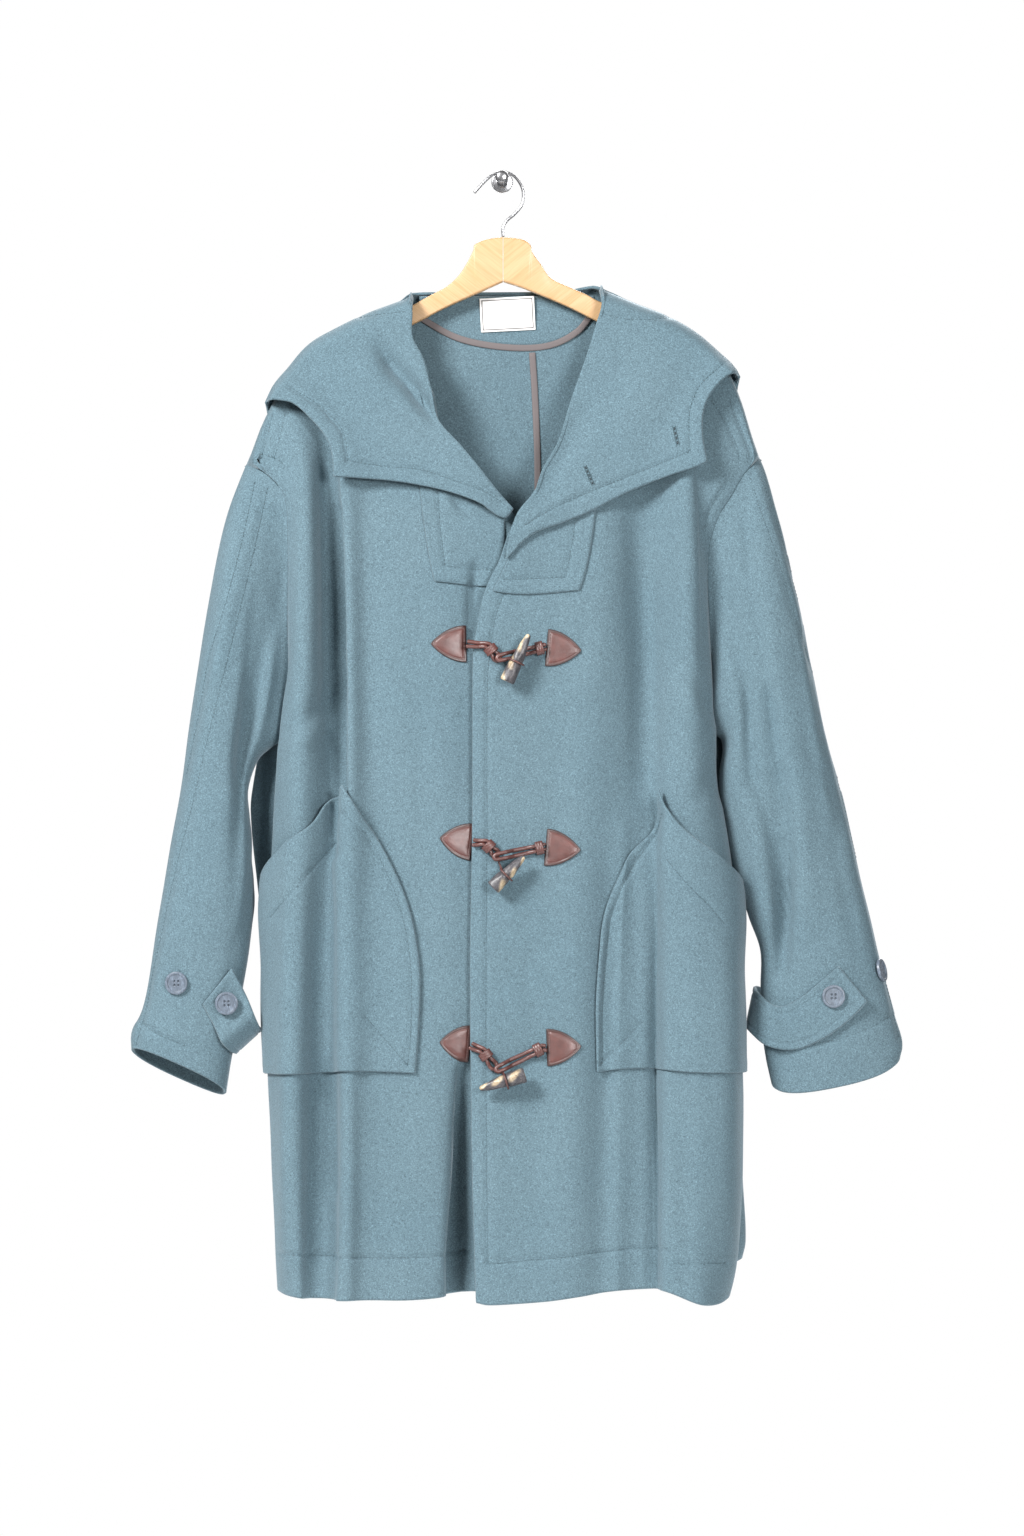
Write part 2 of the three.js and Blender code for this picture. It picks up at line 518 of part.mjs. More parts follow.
// The lapel's other edges. The inner edge is the fold along the neck opening.
const LAPEL_LEFT = {
  top: path(HOOD_LINE_LEFT),
  inner: path([[-91, -118], [-90, -140], [-90, -162], [-79, -184], [-71, -215], [-64, -246], [-41, -273],
    [-22, -296], [-4, -319], [11, -336]]),
  outer: path([[-238, -226], [-225, -226], [-208, -230], [-191, -245], [-176, -263], [-169, -280], [-167, -304]]),
  foot: path([[11, -336], [2, -345], [-21, -331], [-50, -320], [-79, -313], [-109, -308], [-144, -305],
    [-167, -304]]),
  line: HOOD_LINE_LEFT,
  lift: (u, v) => HOOD_LIFT - 5 * smooth(0.8, 1, v) * (1 - smooth(0, 0.25, u)) + 7 * smooth(0.75, 1, u),
  away: -1,
};
const LAPEL_RIGHT = {
  top: path(HOOD_LINE_RIGHT),
  inner: path([[99, -111], [100, -130], [95, -148], [85, -181], [69, -227], [56, -269], [40, -298], [33, -318],
    [16, -340], [9, -357]]),
  outer: path([[239, -200], [234, -198], [222, -204], [207, -222], [200, -242], [200, -266], [204, -289]]),
  foot: path([[9, -357], [5, -386], [17, -373], [34, -360], [58, -351], [87, -339], [122, -321], [163, -304],
    [193, -294], [204, -289]]),
  line: HOOD_LINE_RIGHT,
  lift: (u, v) => HOOD_LIFT + 4 * smooth(0.5, 1, v) * (1 - smooth(0, 0.6, u)) + 7 * smooth(0.75, 1, u),
  away: 1,
};
const FOLD_ROWS = [[9, 1.5]];

class Lapel {
  constructor(shape) {
    this.shape = shape;
    this.sheet = between(shape);
    const order = [...shape.line].sort((a, b) => a[0] - b[0]);
    this.line = track(order.map((p) => p[0]), order.map((p) => p[1]));
  }

  point(u, v) {
    const [x, z] = this.sheet(u, v);
    const fall = clamp((this.line(x) - z) / HOOD_ROLL, 0, 1);
    const rolled = Math.sqrt(1 - (1 - fall) ** 2);
    return [x, mix(HANGER_Y - 1, frontDepth(z) - this.shape.lift(u, v), rolled), z];
  }

  // Each row starts behind the fold at the neck opening, goes round it and out to the far edge.
  row(v, shares) {
    const start = this.point(0, v);
    const turned = FOLD_ROWS.map(([back, aside]) => add(start, [
      this.shape.away * aside, back * mix(0.3, 1, smooth(0, 0.1, v)), 0]));
    return [...turned, ...shares.map((u) => this.point(u, v))];
  }

  grid(rows, shares) {
    return rows.map((v) => (this.shape.away > 0 ? this.row(v, shares) : this.row(v, shares).reverse()));
  }
}

const lapelLeft = new Lapel(LAPEL_LEFT);
const lapelRight = new Lapel(LAPEL_RIGHT);
const LAPEL_ROWS = [0, 0.02, 0.06, 0.12, 0.2, 0.3, 0.42, 0.54, 0.66, 0.78, 0.9, 1];
const LAPEL_SHARES = [0, 0.06, 0.15, 0.27, 0.4, 0.54, 0.68, 0.8, 0.9, 0.96, 1];
for (const [name, lapel] of [['hood_front_left', lapelLeft], ['hood_front_right', lapelRight]]) {
  const outer = lapel.grid(LAPEL_ROWS, LAPEL_SHARES);
  wall(name, MATERIALS.wool, outer, offset(outer, -CLOTH));
}

// The part of the hood that stands behind the hanger, from the neck seam up to the fold.
function neckSeam(x) {
  let low = 3.5;
  let high = 8.5;
  for (let i = 0; i < 40; i++) {
    const middle = (low + high) / 2;
    if (back.point(middle, back.top(middle))[0] < x) low = middle;
    else high = middle;
  }
  return back.top((low + high) / 2);
}
const STAND = { from: -83, to: 93, top: -119, front: -34.6, topFront: -32.5 };
const standShares = range(10);
const standPoint = (s, v) => {
  const x = mix(STAND.from, STAND.to, s);
  const low = neckSeam(x) + SEAM_GAP * 5;
  return [x, mix(STAND.topFront, STAND.front, smooth(0, 0.7, v)), mix(STAND.top, low, v)];
};
const standGrid = range(4).map((v) => standShares.map((s) => standPoint(s, v)));
wall('hood_stand', MATERIALS.wool, standGrid, standGrid.map((row) => row.map((p) => add(p, [0, CLOTH, 0]))));

// The rest of the hood hangs behind as a flat pouch, open at its upper edge. It goes from one shoulder
// to the other under the hood's highest line. Rows along its section: [share of the depth down, y].
const POUCH = { depth: 262, edgeDrop: 74, innerY: -22.5, outerY: -4.5, bottom: 8 };
const pouchLine = track(
  [...HOOD_LINE_LEFT.map((p) => p[0]).reverse(), -60, 0, 60, ...HOOD_LINE_RIGHT.map((p) => p[0])],
  [...HOOD_LINE_LEFT.map((p) => p[1]).reverse(), -117, -117, -116, ...HOOD_LINE_RIGHT.map((p) => p[1])],
);
function pouchSection(x) {
  const top = pouchLine(x);
  const narrow = Math.abs(x) / 240;
  const fall = POUCH.depth * (1 - 0.55 * narrow ** 3);
  const low = top - fall;
  const edge = top - POUCH.edgeDrop * (1 - 0.75 * narrow ** 2);
  const start = mix(-28, HANGER_Y - 0.5, smooth(86, 100, Math.abs(x)));
  const arc = range(6).map((s) => {
    const turn = Math.PI * s;
    const middle = (POUCH.innerY + POUCH.outerY) / 2;
    return [middle - (POUCH.outerY - POUCH.innerY) / 2 * Math.cos(turn), low - POUCH.bottom * Math.sin(turn)];
  });
  return [
    [start, top], [mix(start, POUCH.innerY, 0.6), top - 0.5], [POUCH.innerY + 2, top - 4], [POUCH.innerY, top - 14],
    [POUCH.innerY, mix(top, low, 0.35)], [POUCH.innerY, mix(top, low, 0.7)],
    ...arc,
    [POUCH.outerY, mix(low, edge, 0.35)], [POUCH.outerY, mix(low, edge, 0.7)], [POUCH.outerY - 1, edge],
  ].map(([y, z]) => [x, y, z]);
}
const pouchShares = range(15).map((s) => mix(-237, 238, s));
const pouchSections = pouchShares.map(pouchSection);
const pouchGrid = pouchSections[0].map((_, r) => pouchSections.map((section) => section[r]));
// Seen from the body, the section runs down, so +X comes first to keep the outside facing out.
wall('hood_back', MATERIALS.wool, pouchGrid, offset(pouchGrid, -CLOTH));

// What is sewn onto the fronts

// A patch is drawn on the panel in feature numbers and heights, then moved out from the panel.
function patch(name, panel, shape, { columns, rows, lift, thick, material = MATERIALS.wool }) {
  const sheet = between(shape);
  const grid = (extra) => range(rows).map((v) => range(columns).map((u) => {
    const [t, z] = sheet(u, v);
    return panel.lifted(t, z, lift(u, v) + extra);
  }));
  return wall(name, material, grid(thick), grid(0));
}

// A path on a panel through [x, z] points; a point [null, z, t] gives the feature number itself.
const onPanel = (panel, points, from) => path(points.map(([x, z, t]) => [
  (x === null ? t : panel.find(x, z, from)) * PANEL_UNIT, z]));
// Feature numbers are stretched to about millimetres, so that paths run evenly.
const PANEL_UNIT = 40;
const inFeatures = (sheet) => Object.fromEntries(Object.entries(sheet).map(([side, line]) => [
  side, (s) => {
    const [t, z] = line(s);
    return [t / PANEL_UNIT, z];
  }]));

const POCKET_LEFT = inFeatures({
  top: onPanel(leftFront, [[null, -712, 0.7], [-226, -690], [-213, -676], [-193, -653], [-175, -631],
    [-156, -614]], 1),
  outer: onPanel(leftFront, [[-156, -614], [-146, -641], [-125, -667], [-108, -697], [-96, -726], [-87, -761],
    [-82, -805], [-84, -864], [-87, -899]], 1),
  foot: onPanel(leftFront, [[null, -901, 0.7], [-200, -900], [-150, -897], [-87, -899]], 1),
  inner: onPanel(leftFront, [[null, -712, 0.7], [null, -800, 0.7], [null, -901, 0.7]], 1),
});
const RIGHT_SIDE = rightFront.count - 0.7;
const POCKET_RIGHT = inFeatures({
  top: onPanel(rightFront, [[158, -618], [164, -635], [181, -659], [205, -682], [218, -698],
    [null, -719, RIGHT_SIDE]], 0),
  inner: onPanel(rightFront, [[158, -618], [146, -660], [125, -688], [111, -714], [100, -747], [95, -791],
    [92, -835], [93, -898]], 0),
  foot: onPanel(rightFront, [[93, -898], [146, -894], [190, -898], [null, -900, RIGHT_SIDE]], 0),
  outer: onPanel(rightFront, [[null, -719, RIGHT_SIDE], [null, -800, RIGHT_SIDE], [null, -900, RIGHT_SIDE]], 0),
});
// The pocket stands off the front a little along its open edge.
const POCKET = { gap: 2.3, foot: 1.3, rise: 4.3, loose: 1.6 };
const pocketLift = (u, v) => mix(POCKET.gap, POCKET.foot, smooth(0.7, 1, v))
  + (POCKET.rise + POCKET.loose * Math.sin(Math.PI * u)) * (1 - smooth(0.1, 0.5, v));
patch('pocket_left', leftFront, POCKET_LEFT, { columns: 14, rows: 9, lift: pocketLift, thick: CLOTH });
patch('pocket_right', rightFront, POCKET_RIGHT, { columns: 14, rows: 9, lift: pocketLift, thick: CLOTH });

const CHEST_LEFT = inFeatures({
  top: onPanel(leftFront, [[-83, -303], [-60, -306], [-31, -318]], 1),
  inner: onPanel(leftFront, [[-83, -303], [-77, -354], [-72, -385], [-67, -409]], 1),
  foot: onPanel(leftFront, [[-67, -409], [-47, -411], [-24, -413]], 1),
  outer: onPanel(leftFront, [[-31, -318], [-27, -350], [-24, -413]], 1),
});
const CHEST_RIGHT = inFeatures({
  top: onPanel(rightFront, [[22, -362], [50, -345], [94, -325]], 0),
  inner: onPanel(rightFront, [[22, -362], [8, -385], [-3, -408], [-8, -419]], 0),
  foot: onPanel(rightFront, [[-8, -419], [20, -422], [44, -421], [77, -418]], 0),
  outer: onPanel(rightFront, [[94, -325], [90, -360], [84, -394], [77, -418]], 0),
});
const flatLift = () => LAY_GAP;
const CHEST_GRID = { columns: 4, rows: 4, lift: flatLift, thick: PATCH_CLOTH };
patch('chest_patch_left', leftFront, CHEST_LEFT, CHEST_GRID);
patch('chest_patch_right', rightFront, CHEST_RIGHT, CHEST_GRID);

// Toggle fastenings

// One row for each fastening, from the top: the two leather patches' straight edges and tips, the
// ends of the cord loops, the wraps and the toggle's thick end and tip, all as [x, z].
const FASTENINGS = [
  {
    leftEdge: [-36, -472], leftTip: [-71, -472], leftWrap: [-11, -478], leftEnd: [-2.5, -489],
    rightEdge: [45, -476], rightTip: [79, -479], rightWrap: [37.5, -476.5], rightEnd: [-5, -487],
    thick: [5, -510], tip: [27, -463],
  },
  {
    leftEdge: [-30, -670], leftTip: [-62, -666], leftWrap: [-13, -674], leftEnd: [-4, -683],
    rightEdge: [44, -675], rightTip: [78, -678], rightWrap: [37.5, -675.5], rightEnd: [-8, -685],
    thick: [-9, -715], tip: [22, -684],
  },
  {
    leftEdge: [-32, -871], leftTip: [-62, -869], leftWrap: [-16, -881], leftEnd: [-6, -895],
    rightEdge: [45, -874], rightTip: [78, -873], rightWrap: [36, -876], rightEnd: [-6, -896],
    thick: [23, -900], tip: [-22, -914],
  },
];
const PATCH_HALF = 18;
const STRAND_HALF = 2.5;
const LOOP_HALF = { under: 3.4, over: 2.6 };
const WRAP = { length: 8, wall: 1.1, clear: 1.3 };
const WRAP_RISE = CORD_DIAMETER / 2 + WRAP.clear + WRAP.wall;
const CROSSING = 7;
const TOGGLE = { thick: 7.4, tip: 2.6, slack: 0.9 };

// An arrow-shaped leather patch: a straight edge and two sides that curve in to the tip.
function leatherPatch(name, panel, from, edge, tip) {
  const length = Math.hypot(tip[0] - edge[0], tip[1] - edge[1]);
  const along = [(tip[0] - edge[0]) / length, (tip[1] - edge[1]) / length];
  const across = [-along[1], along[0]];
  const grid = (extra) => range(5).map((s) => [-1, -0.5, 0, 0.5, 1].map((w) => {
    const reach = s * 0.97;
    const half = PATCH_HALF * (1 - reach ** 2) * w;
    const x = edge[0] + along[0] * reach * length + across[0] * half;
    const z = edge[1] + along[1] * reach * length + across[1] * half;
    return panel.lifted(panel.find(x, z, from), z, LAY_GAP + extra);
  }));
  return wall(name, MATERIALS.leather, grid(LEATHER), grid(0));
}

function addGeometry(name, geometry, material) {
  const mesh = new THREE.Mesh(geometry, material);
  mesh.name = name;
  coat.add(mesh);
  return mesh;
}

// How far the lapped fronts' outer face lies from the wall at x, z.
const frontFace = (x, z) => (x > rightFront.point(0, z)[0]
  ? rightFront.point(rightFront.find(x, z, 0), z)[1]
  : leftFront.point(leftFront.find(x, z, 1), z)[1]);

// A doubled cord: out from the patch along one side, round the end, and back along the other.
function cordLoop(name, edge, wrap, end, step, over) {
  const steer = (a, b) => {
    const size = Math.hypot(b[0] - a[0], b[1] - a[1]);
    return [(b[0] - a[0]) / size, (b[1] - a[1]) / size];
  };
  const lapX = rightFront.point(0, edge[1])[0];
  // The wrap lifts the cord off the cloth.
  const near = (x, z) => 1 - smooth(WRAP.length * 0.75, WRAP.length * 1.7, Math.hypot(x - wrap[0], z - wrap[1]));
  // A cord that passes over the end of another rises there.
  const climb = (x, z) => (over ? CROSSING * (1 - smooth(8, 17, Math.hypot(x - over[0], z - over[1]))) : 0);
  const onCloth = (x, z) => (
    frontFace(x, z) - mix(CORD_DIAMETER / 2, WRAP_RISE, near(x, z)) - LAY_GAP - climb(x, z));
  // The cord is stiff, so it stays level over the step at the lapped edge.
  const depth = (x, z) => (x < lapX + step ? Math.min(onCloth(x, z), onCloth(lapX + step, z)) : onCloth(x, z));
  const out = steer(edge, wrap);
  const on = steer(wrap, end);
  const start = [edge[0] + out[0] * 1.2, edge[1] + out[1] * 1.2];
  const beforeWrap = [wrap[0] - on[0] * WRAP.length * 0.62, wrap[1] - on[1] * WRAP.length * 0.62];
  const afterWrap = [wrap[0] + on[0] * WRAP.length * 0.58, wrap[1] + on[1] * WRAP.length * 0.58];
  const bend = [(out[0] + on[0]) / 2, (out[1] + on[1]) / 2];
  const middle = [mix(start[0], beforeWrap[0], 0.5), mix(start[1], beforeWrap[1], 0.5)];
  const side = (p, d, s) => [p[0] - d[1] * s * STRAND_HALF, p[1] + d[0] * s * STRAND_HALF];
  const loopHalf = over ? LOOP_HALF.over : LOOP_HALF.under;
  const beforeEnd = [end[0] - on[0] * loopHalf, end[1] - on[1] * loopHalf];
  const wide = loopHalf / STRAND_HALF;
  const strand = (way) => [side(start, out, way), side(middle, bend, way), side(beforeWrap, on, way),
    side(afterWrap, on, way), side(beforeEnd, on, way * wide)];
  const points = [...strand(1), end, ...strand(-1).reverse()];
  const curve = new THREE.CatmullRomCurve3(points.map(([x, z]) => new THREE.Vector3(x, depth(x, z), z)));
  const section = new THREE.Shape(range(6).slice(0, -1).map((s) => new THREE.Vector2(
    Math.cos(2 * Math.PI * s) * CORD_DIAMETER / 2, Math.sin(2 * Math.PI * s) * CORD_DIAMETER / 2)));
  addGeometry(name, new THREE.ExtrudeGeometry(section, { steps: 18, bevelEnabled: false, extrudePath: curve }),
    MATERIALS.leather);
  return { on, y: depth(...wrap), endY: depth(...end) };
}

// A leather winding round both strands: an oval ring, extruded along the cord.
function wrapRound(name, wrap, { on, y }) {
  const oval = (grow) => range(12).slice(0, -1).map((s) => new THREE.Vector2(
    Math.cos(2 * Math.PI * s) * (STRAND_HALF + CORD_DIAMETER / 2 + grow) * 1.02,
    Math.sin(2 * Math.PI * s) * (CORD_DIAMETER / 2 + grow) * 1.02));
  const shape = new THREE.Shape(oval(WRAP.clear + WRAP.wall));
  shape.holes.push(new THREE.Path(oval(WRAP.clear)));
  const geometry = new THREE.ExtrudeGeometry(shape, { depth: WRAP.length, steps: 1, bevelEnabled: false });
  geometry.translate(0, 0, -WRAP.length / 2);
  const alongX = new THREE.Vector3(-on[1], 0, on[0]);
  const alongZ = new THREE.Vector3(on[0], 0, on[1]);
  const alongY = new THREE.Vector3().crossVectors(alongZ, alongX);
  geometry.applyMatrix4(new THREE.Matrix4().makeBasis(alongX, alongY, alongZ));
  geometry.translate(wrap[0], y, wrap[1]);
  addGeometry(name, geometry, MATERIALS.leather);
}

// A horn toggle: thick and cut off at one end, narrow at the other, lying on the two cord ends.
const toggleDepth = (thick, tip) => (
  Math.min(frontFace(...thick), frontFace(...tip)) - CORD_DIAMETER - 2 * LAY_GAP
  - TOGGLE.slack - TOGGLE.thick);
function hornToggle(name, thick, tip) {
  const y = toggleDepth(thick, tip);
  const length = Math.hypot(tip[0] - thick[0], tip[1] - thick[1]);
  const profile = [
    [0, 0], [TOGGLE.thick * 0.86, 0], [TOGGLE.thick, 1.5], [TOGGLE.thick * 0.9, length * 0.4],
    [TOGGLE.thick * 0.66, length * 0.7], [TOGGLE.tip * 1.1, length * 0.94], [TOGGLE.tip * 0.6, length], [0, length],
  ];
  const geometry = new THREE.LatheGeometry(profile.map(([r, h]) => new THREE.Vector2(r, h)), 12);
  const way = new THREE.Vector3(tip[0] - thick[0], 0, tip[1] - thick[1]).normalize();
  geometry.applyQuaternion(new THREE.Quaternion().setFromUnitVectors(new THREE.Vector3(0, 1, 0), way));
  geometry.translate(thick[0], y, thick[1]);
  addGeometry(name, geometry, MATERIALS.horn);
}

// A thin cord that holds the toggle: from the left cord's end, under the toggle and round its middle.
const TIE = { diameter: 2, share: 0.42, clear: 0.5, under: 1.8 };
function tie(name, { thick, tip, leftEnd }, endY) {
  const y = toggleDepth(thick, tip);
  const size = Math.hypot(tip[0] - thick[0], tip[1] - thick[1]);
  const middle = [mix(thick[0], tip[0], TIE.share), mix(thick[1], tip[1], TIE.share)];
  // Across the toggle, away from the left cord's end.
  let across = [(tip[1] - thick[1]) / size, -(tip[0] - thick[0]) / size];
  const towards = (leftEnd[0] - middle[0]) * across[0] + (leftEnd[1] - middle[1]) * across[1];
  if (towards > 0) across = across.map((c) => -c);
  const reach = TOGGLE.thick * 0.9 + TIE.clear + TIE.diameter / 2;
  const round = (turn) => new THREE.Vector3(middle[0] + across[0] * reach * Math.cos(turn),
    y + (reach + TIE.under * smooth(0.4, 1.5, turn)) * Math.sin(turn), middle[1] + across[1] * reach * Math.cos(turn));
  const start = new THREE.Vector3(leftEnd[0], endY, leftEnd[1]);
  const lead = new THREE.Vector3(
    mix(leftEnd[0], middle[0] - across[0] * reach, 0.6), mix(endY, y + reach + TIE.under, 0.6),
    mix(leftEnd[1], middle[1] - across[1] * reach, 0.6));
  const toLead = lead.clone().sub(start).normalize();
  start.addScaledVector(toLead, CORD_DIAMETER / 2 + TIE.clear * 1.4);
  const turns = [0.62, 0.36, 0.1, -0.16, -0.42, -0.68, -0.9].map((s) => round(Math.PI * s));
  const curve = new THREE.CatmullRomCurve3([start, lead, ...turns]);
  const section = new THREE.Shape(range(5).slice(0, -1).map((s) => new THREE.Vector2(
    Math.cos(2 * Math.PI * s) * TIE.diameter / 2, Math.sin(2 * Math.PI * s) * TIE.diameter / 2)));
  addGeometry(name, new THREE.ExtrudeGeometry(section, { steps: 14, bevelEnabled: false, extrudePath: curve }),
    MATERIALS.leather);
}

FASTENINGS.forEach((row, i) => {
  const n = i + 1;
  leatherPatch(`patch_left_${n}`, leftFront, 1, row.leftEdge, row.leftTip);
  leatherPatch(`patch_right_${n}`, rightFront, 0, row.rightEdge, row.rightTip);
  const left = cordLoop(`cord_left_${n}`, row.leftEdge, row.leftWrap, row.leftEnd, 6, null);
  const right = cordLoop(`cord_right_${n}`, row.rightEdge, row.rightWrap, row.rightEnd, 0, row.leftEnd);
  wrapRound(`wrap_left_${n}`, row.leftWrap, left);
  wrapRound(`wrap_right_${n}`, row.rightWrap, right);
  hornToggle(`toggle_${n}`, row.thick, row.tip);
  tie(`tie_${n}`, row, left.endY);
});

// Sleeve straps and buttons

// A band of cloth: rows of [centre x, y, z, half width vector x, z], rounded at the first row.
function band(name, rows, thick) {
  const columns = rows[0].map((_, i) => track(rows.map((_, r) => r), rows.map((row) => row[i])));
  const widths = range(4).map((s) => 2 * s - 1);
  const steps = range((rows.length - 1) * 2).map((s) => s * (rows.length - 1));
  const grid = steps.map((r) => {
    const [x, y, z, wx, wz] = columns.map((f) => f(r));
    return widths.map((w) => [x + wx * w, y, z + wz * w]);
  });
  const facing = outwardAt(grid, 0, 2, false)[1] < 0 ? 1 : -1;
  const inner = grid.map((row, r) => row.map((p, c) => add(p, outwardAt(grid, r, c, false), -thick * facing)));
  return wall(name, MATERIALS.wool, grid, inner);
}

// Each strap starts at its buttoned end on the front of the cuff, stands off the sleeve's inner edge
// and ends on the back of the cuff. Rows on the front give no y: they lie on the sleeve.
const STRAP_LEFT = [
  [-284, null, -815, -14, -17.5], [-273, null, -836, -15, -15.5], [-264, -110, -856, -15.5, -13.5],
  [-257, -96, -868, -14, -12], [-254, -78, -871, -13, -12], [-257, -60, -871, -14, -12],
  [-267, -46, -868, -15, -15], [-279, -36, -862, -14, -17],
];
const STRAP_RIGHT = [
  [350, null, -812, 14, -17], [333, null, -828, 13, -19], [311, null, -845, 10.5, -20],
  [287, null, -856, 5, -21], [267, -106, -853, -2, -20], [253, -92, -842, -4, -19],
  [249, -70, -836, -4, -19], [254, -48, -836, -3, -19], [266, -34, -840, 0, -19],
];
// How far a strap's outer face lies off the sleeve: its own thickness and the slack under it.
const STRAP_LIFT = CLOTH + 1.2;
const onSleeve = (sleeve, rows) => rows.map(([x, y, z, wx, wz]) => {
  if (y !== null) return [x, y, z, wx, wz];
  const highest = [-1, 0, 1].map((w) => sleeve.onFront(x + wx * w, z + wz * w, STRAP_LIFT).place[1]);
  return [x, Math.min(...highest), z, wx, wz];
});
const strapLeft = onSleeve(leftSleeve, STRAP_LEFT);
const strapRight = onSleeve(rightSleeve, STRAP_RIGHT);
band('sleeve_strap_left', strapLeft, CLOTH);
band('sleeve_strap_right', strapRight, CLOTH);

// A button with a raised rim; its back lies at `place` and it faces `way`.
const BUTTON = { thick: 3.4, rim: 2.2, dish: 1.1, corner: 0.8 };
function button(name, place, way) {
  const r = BUTTON_DIAMETER / 2;
  const { thick, rim, dish, corner } = BUTTON;
  const profile = [[0, 0], [r - corner, 0], [r, corner], [r, thick - corner], [r - corner, thick],
    [r - rim, thick], [r - rim - dish, thick - dish], [0, thick - dish]];
  const geometry = new THREE.LatheGeometry(profile.map(([a, h]) => new THREE.Vector2(a, h)), 12);
  const turn = new THREE.Quaternion().setFromUnitVectors(new THREE.Vector3(0, 1, 0),
    new THREE.Vector3(...way).normalize());
  geometry.applyQuaternion(turn);
  geometry.translate(...place);
  addGeometry(name, geometry, MATERIALS.button);
}
const BUTTON_GAP = 0.35;
const sewnOn = (name, sleeve, x, z) => {
  const { place, way } = sleeve.onFront(x, z, BUTTON_GAP);
  button(name, place, way);
};
// A button on a strap lies on the strap's first rows.
const onStrap = (name, rows, x, z) => button(name,
  [x, Math.min(...rows.slice(0, 2).map((row) => row[1])) - BUTTON_GAP, z], [0, -1, 0]);
sewnOn('button_left_1', leftSleeve, -325, -811);
onStrap('button_left_2', strapLeft, -275, -831);
onStrap('button_right_1', strapRight, 331, -824);
sewnOn('button_right_2', rightSleeve, 379, -799);

// Tapes and label

function strip(name, material, line, half, thick, count) {
  const points = range(count).map(line);
  const rows = [-half, 0, half];
  const sideways = points.map((_, i) => {
    const a = points[Math.max(0, i - 1)];
    const b = points[Math.min(count, i + 1)];
    const size = Math.hypot(b[0] - a[0], b[2] - a[2]);
    return [(b[2] - a[2]) / size, 0, -(b[0] - a[0]) / size];
  });
  const grid = (lift) => rows.map((w) => points.map((p, i) => add(add(p, sideways[i], w), [0, -lift, 0])));
  return wall(name, material, grid(thick), grid(0));
}
const TAPE = { half: 3, thick: 1.2 };
const tapeFace = STAND.front - LAY_GAP;
strip('tape_neck', MATERIALS.tape, (s) => {
  const x = mix(-84, 94, s);
  return [x, tapeFace, neckSeam(x) - 1];
}, TAPE.half, TAPE.thick, 14);
const centreFeature = 6;
strip('tape_back', MATERIALS.tape, (s) => {
  const z = mix(-176, -1085, s);
  const p = back.point(centreFeature, z);
  return [p[0], p[1] - CLOTH - LAY_GAP, z];
}, TAPE.half, TAPE.thick, 16);

const LABEL = { half: [27.5, 17], thick: 0.8, centre: [5.5, -137], tilt: 0.05 };
const label = new THREE.BoxGeometry(LABEL.half[0] * 2, LABEL.thick, LABEL.half[1] * 2);
label.rotateY(-LABEL.tilt);
label.translate(LABEL.centre[0], STAND.front - LAY_GAP - LABEL.thick / 2, LABEL.centre[1]);
addGeometry('label', label, MATERIALS.label);

// Hanger and hooks

// The hanger's outline in front view: along its top from end to end, then back along its foot.
const HANGER_TOP = [[-196, -191], [-173, -174], [-139, -152], [-105, -137], [-89, -128], [-69, -117], [-56, -110],
  [-44, -99], [-36, -87], [-29, -73]];
const HANGER_CROWN = [[-28, -68], [-16, -62.5], [1, -60], [21, -62.5], [29, -68]];
const HANGER_TOP_RIGHT = [[30, -74], [39, -87], [49, -101], [69, -111], [85, -118], [98, -125], [114, -130],
  [140, -142], [175, -160], [203, -184]];
const HANGER_FOOT = [[203, -198], [175, -183], [140, -166], [95, -145], [69, -132], [44, -121], [19, -111],
  [2, -105], [-22.5, -116], [-56, -131], [-89, -148], [-139, -172], [-173, -189], [-196, -203]];
const HANGER_CHAMFER = 3;
const shrink = (points, by) => points.map((p, i) => {
  const a = points[(i + points.length - 1) % points.length];
  const b = points[(i + 1) % points.length];
  const size = Math.hypot(b[0] - a[0], b[1] - a[1]);
  return new THREE.Vector2(p[0] + (b[1] - a[1]) / size * by, p[1] - (b[0] - a[0]) / size * by);
});
const outline = [...HANGER_TOP, ...HANGER_CROWN, ...HANGER_TOP_RIGHT, ...HANGER_FOOT];
const hanger = new THREE.ExtrudeGeometry(new THREE.Shape(shrink(outline, HANGER_CHAMFER)), {
  depth: HANGER_THICK - 2 * HANGER_CHAMFER, bevelEnabled: true, bevelSize: HANGER_CHAMFER,
  bevelThickness: HANGER_CHAMFER, bevelSegments: 1, steps: 1,
});
hanger.translate(0, 0, -(HANGER_THICK - 2 * HANGER_CHAMFER) / 2);
hanger.rotateX(Math.PI / 2);
hanger.translate(0, HANGER_Y, 0);
addGeometry('hanger', hanger, MATERIALS.pine);

// A round wire or rod along a smooth curve.
function rod(name, points, diameter, sides, steps, material) {
  const section = new THREE.Shape(range(sides).slice(0, -1).map((s) => new THREE.Vector2(
    Math.cos(2 * Math.PI * s) * diameter / 2, Math.sin(2 * Math.PI * s) * diameter / 2)));
  const curve = new THREE.CatmullRomCurve3(points.map((p) => new THREE.Vector3(...p)));
  addGeometry(name, new THREE.ExtrudeGeometry(section, { steps, bevelEnabled: false, extrudePath: curve }), material);
}
// The wire hook's route in front view, from its free tip over the top and down to the hanger.
const HOOK_ROUTE = [[-28, -15], [-20, -6], [-11, 2], [1, 6.2], [12, 2], [19, -7], [21.5, -16], [20, -27],
  [12, -37], [5, -43], [1, -50], [1, -59.2]];
rod('hanger_hook', HOOK_ROUTE.map(([x, z]) => [x, HANGER_Y, z]), WIRE_DIAMETER, 8, 22, MATERIALS.steel);

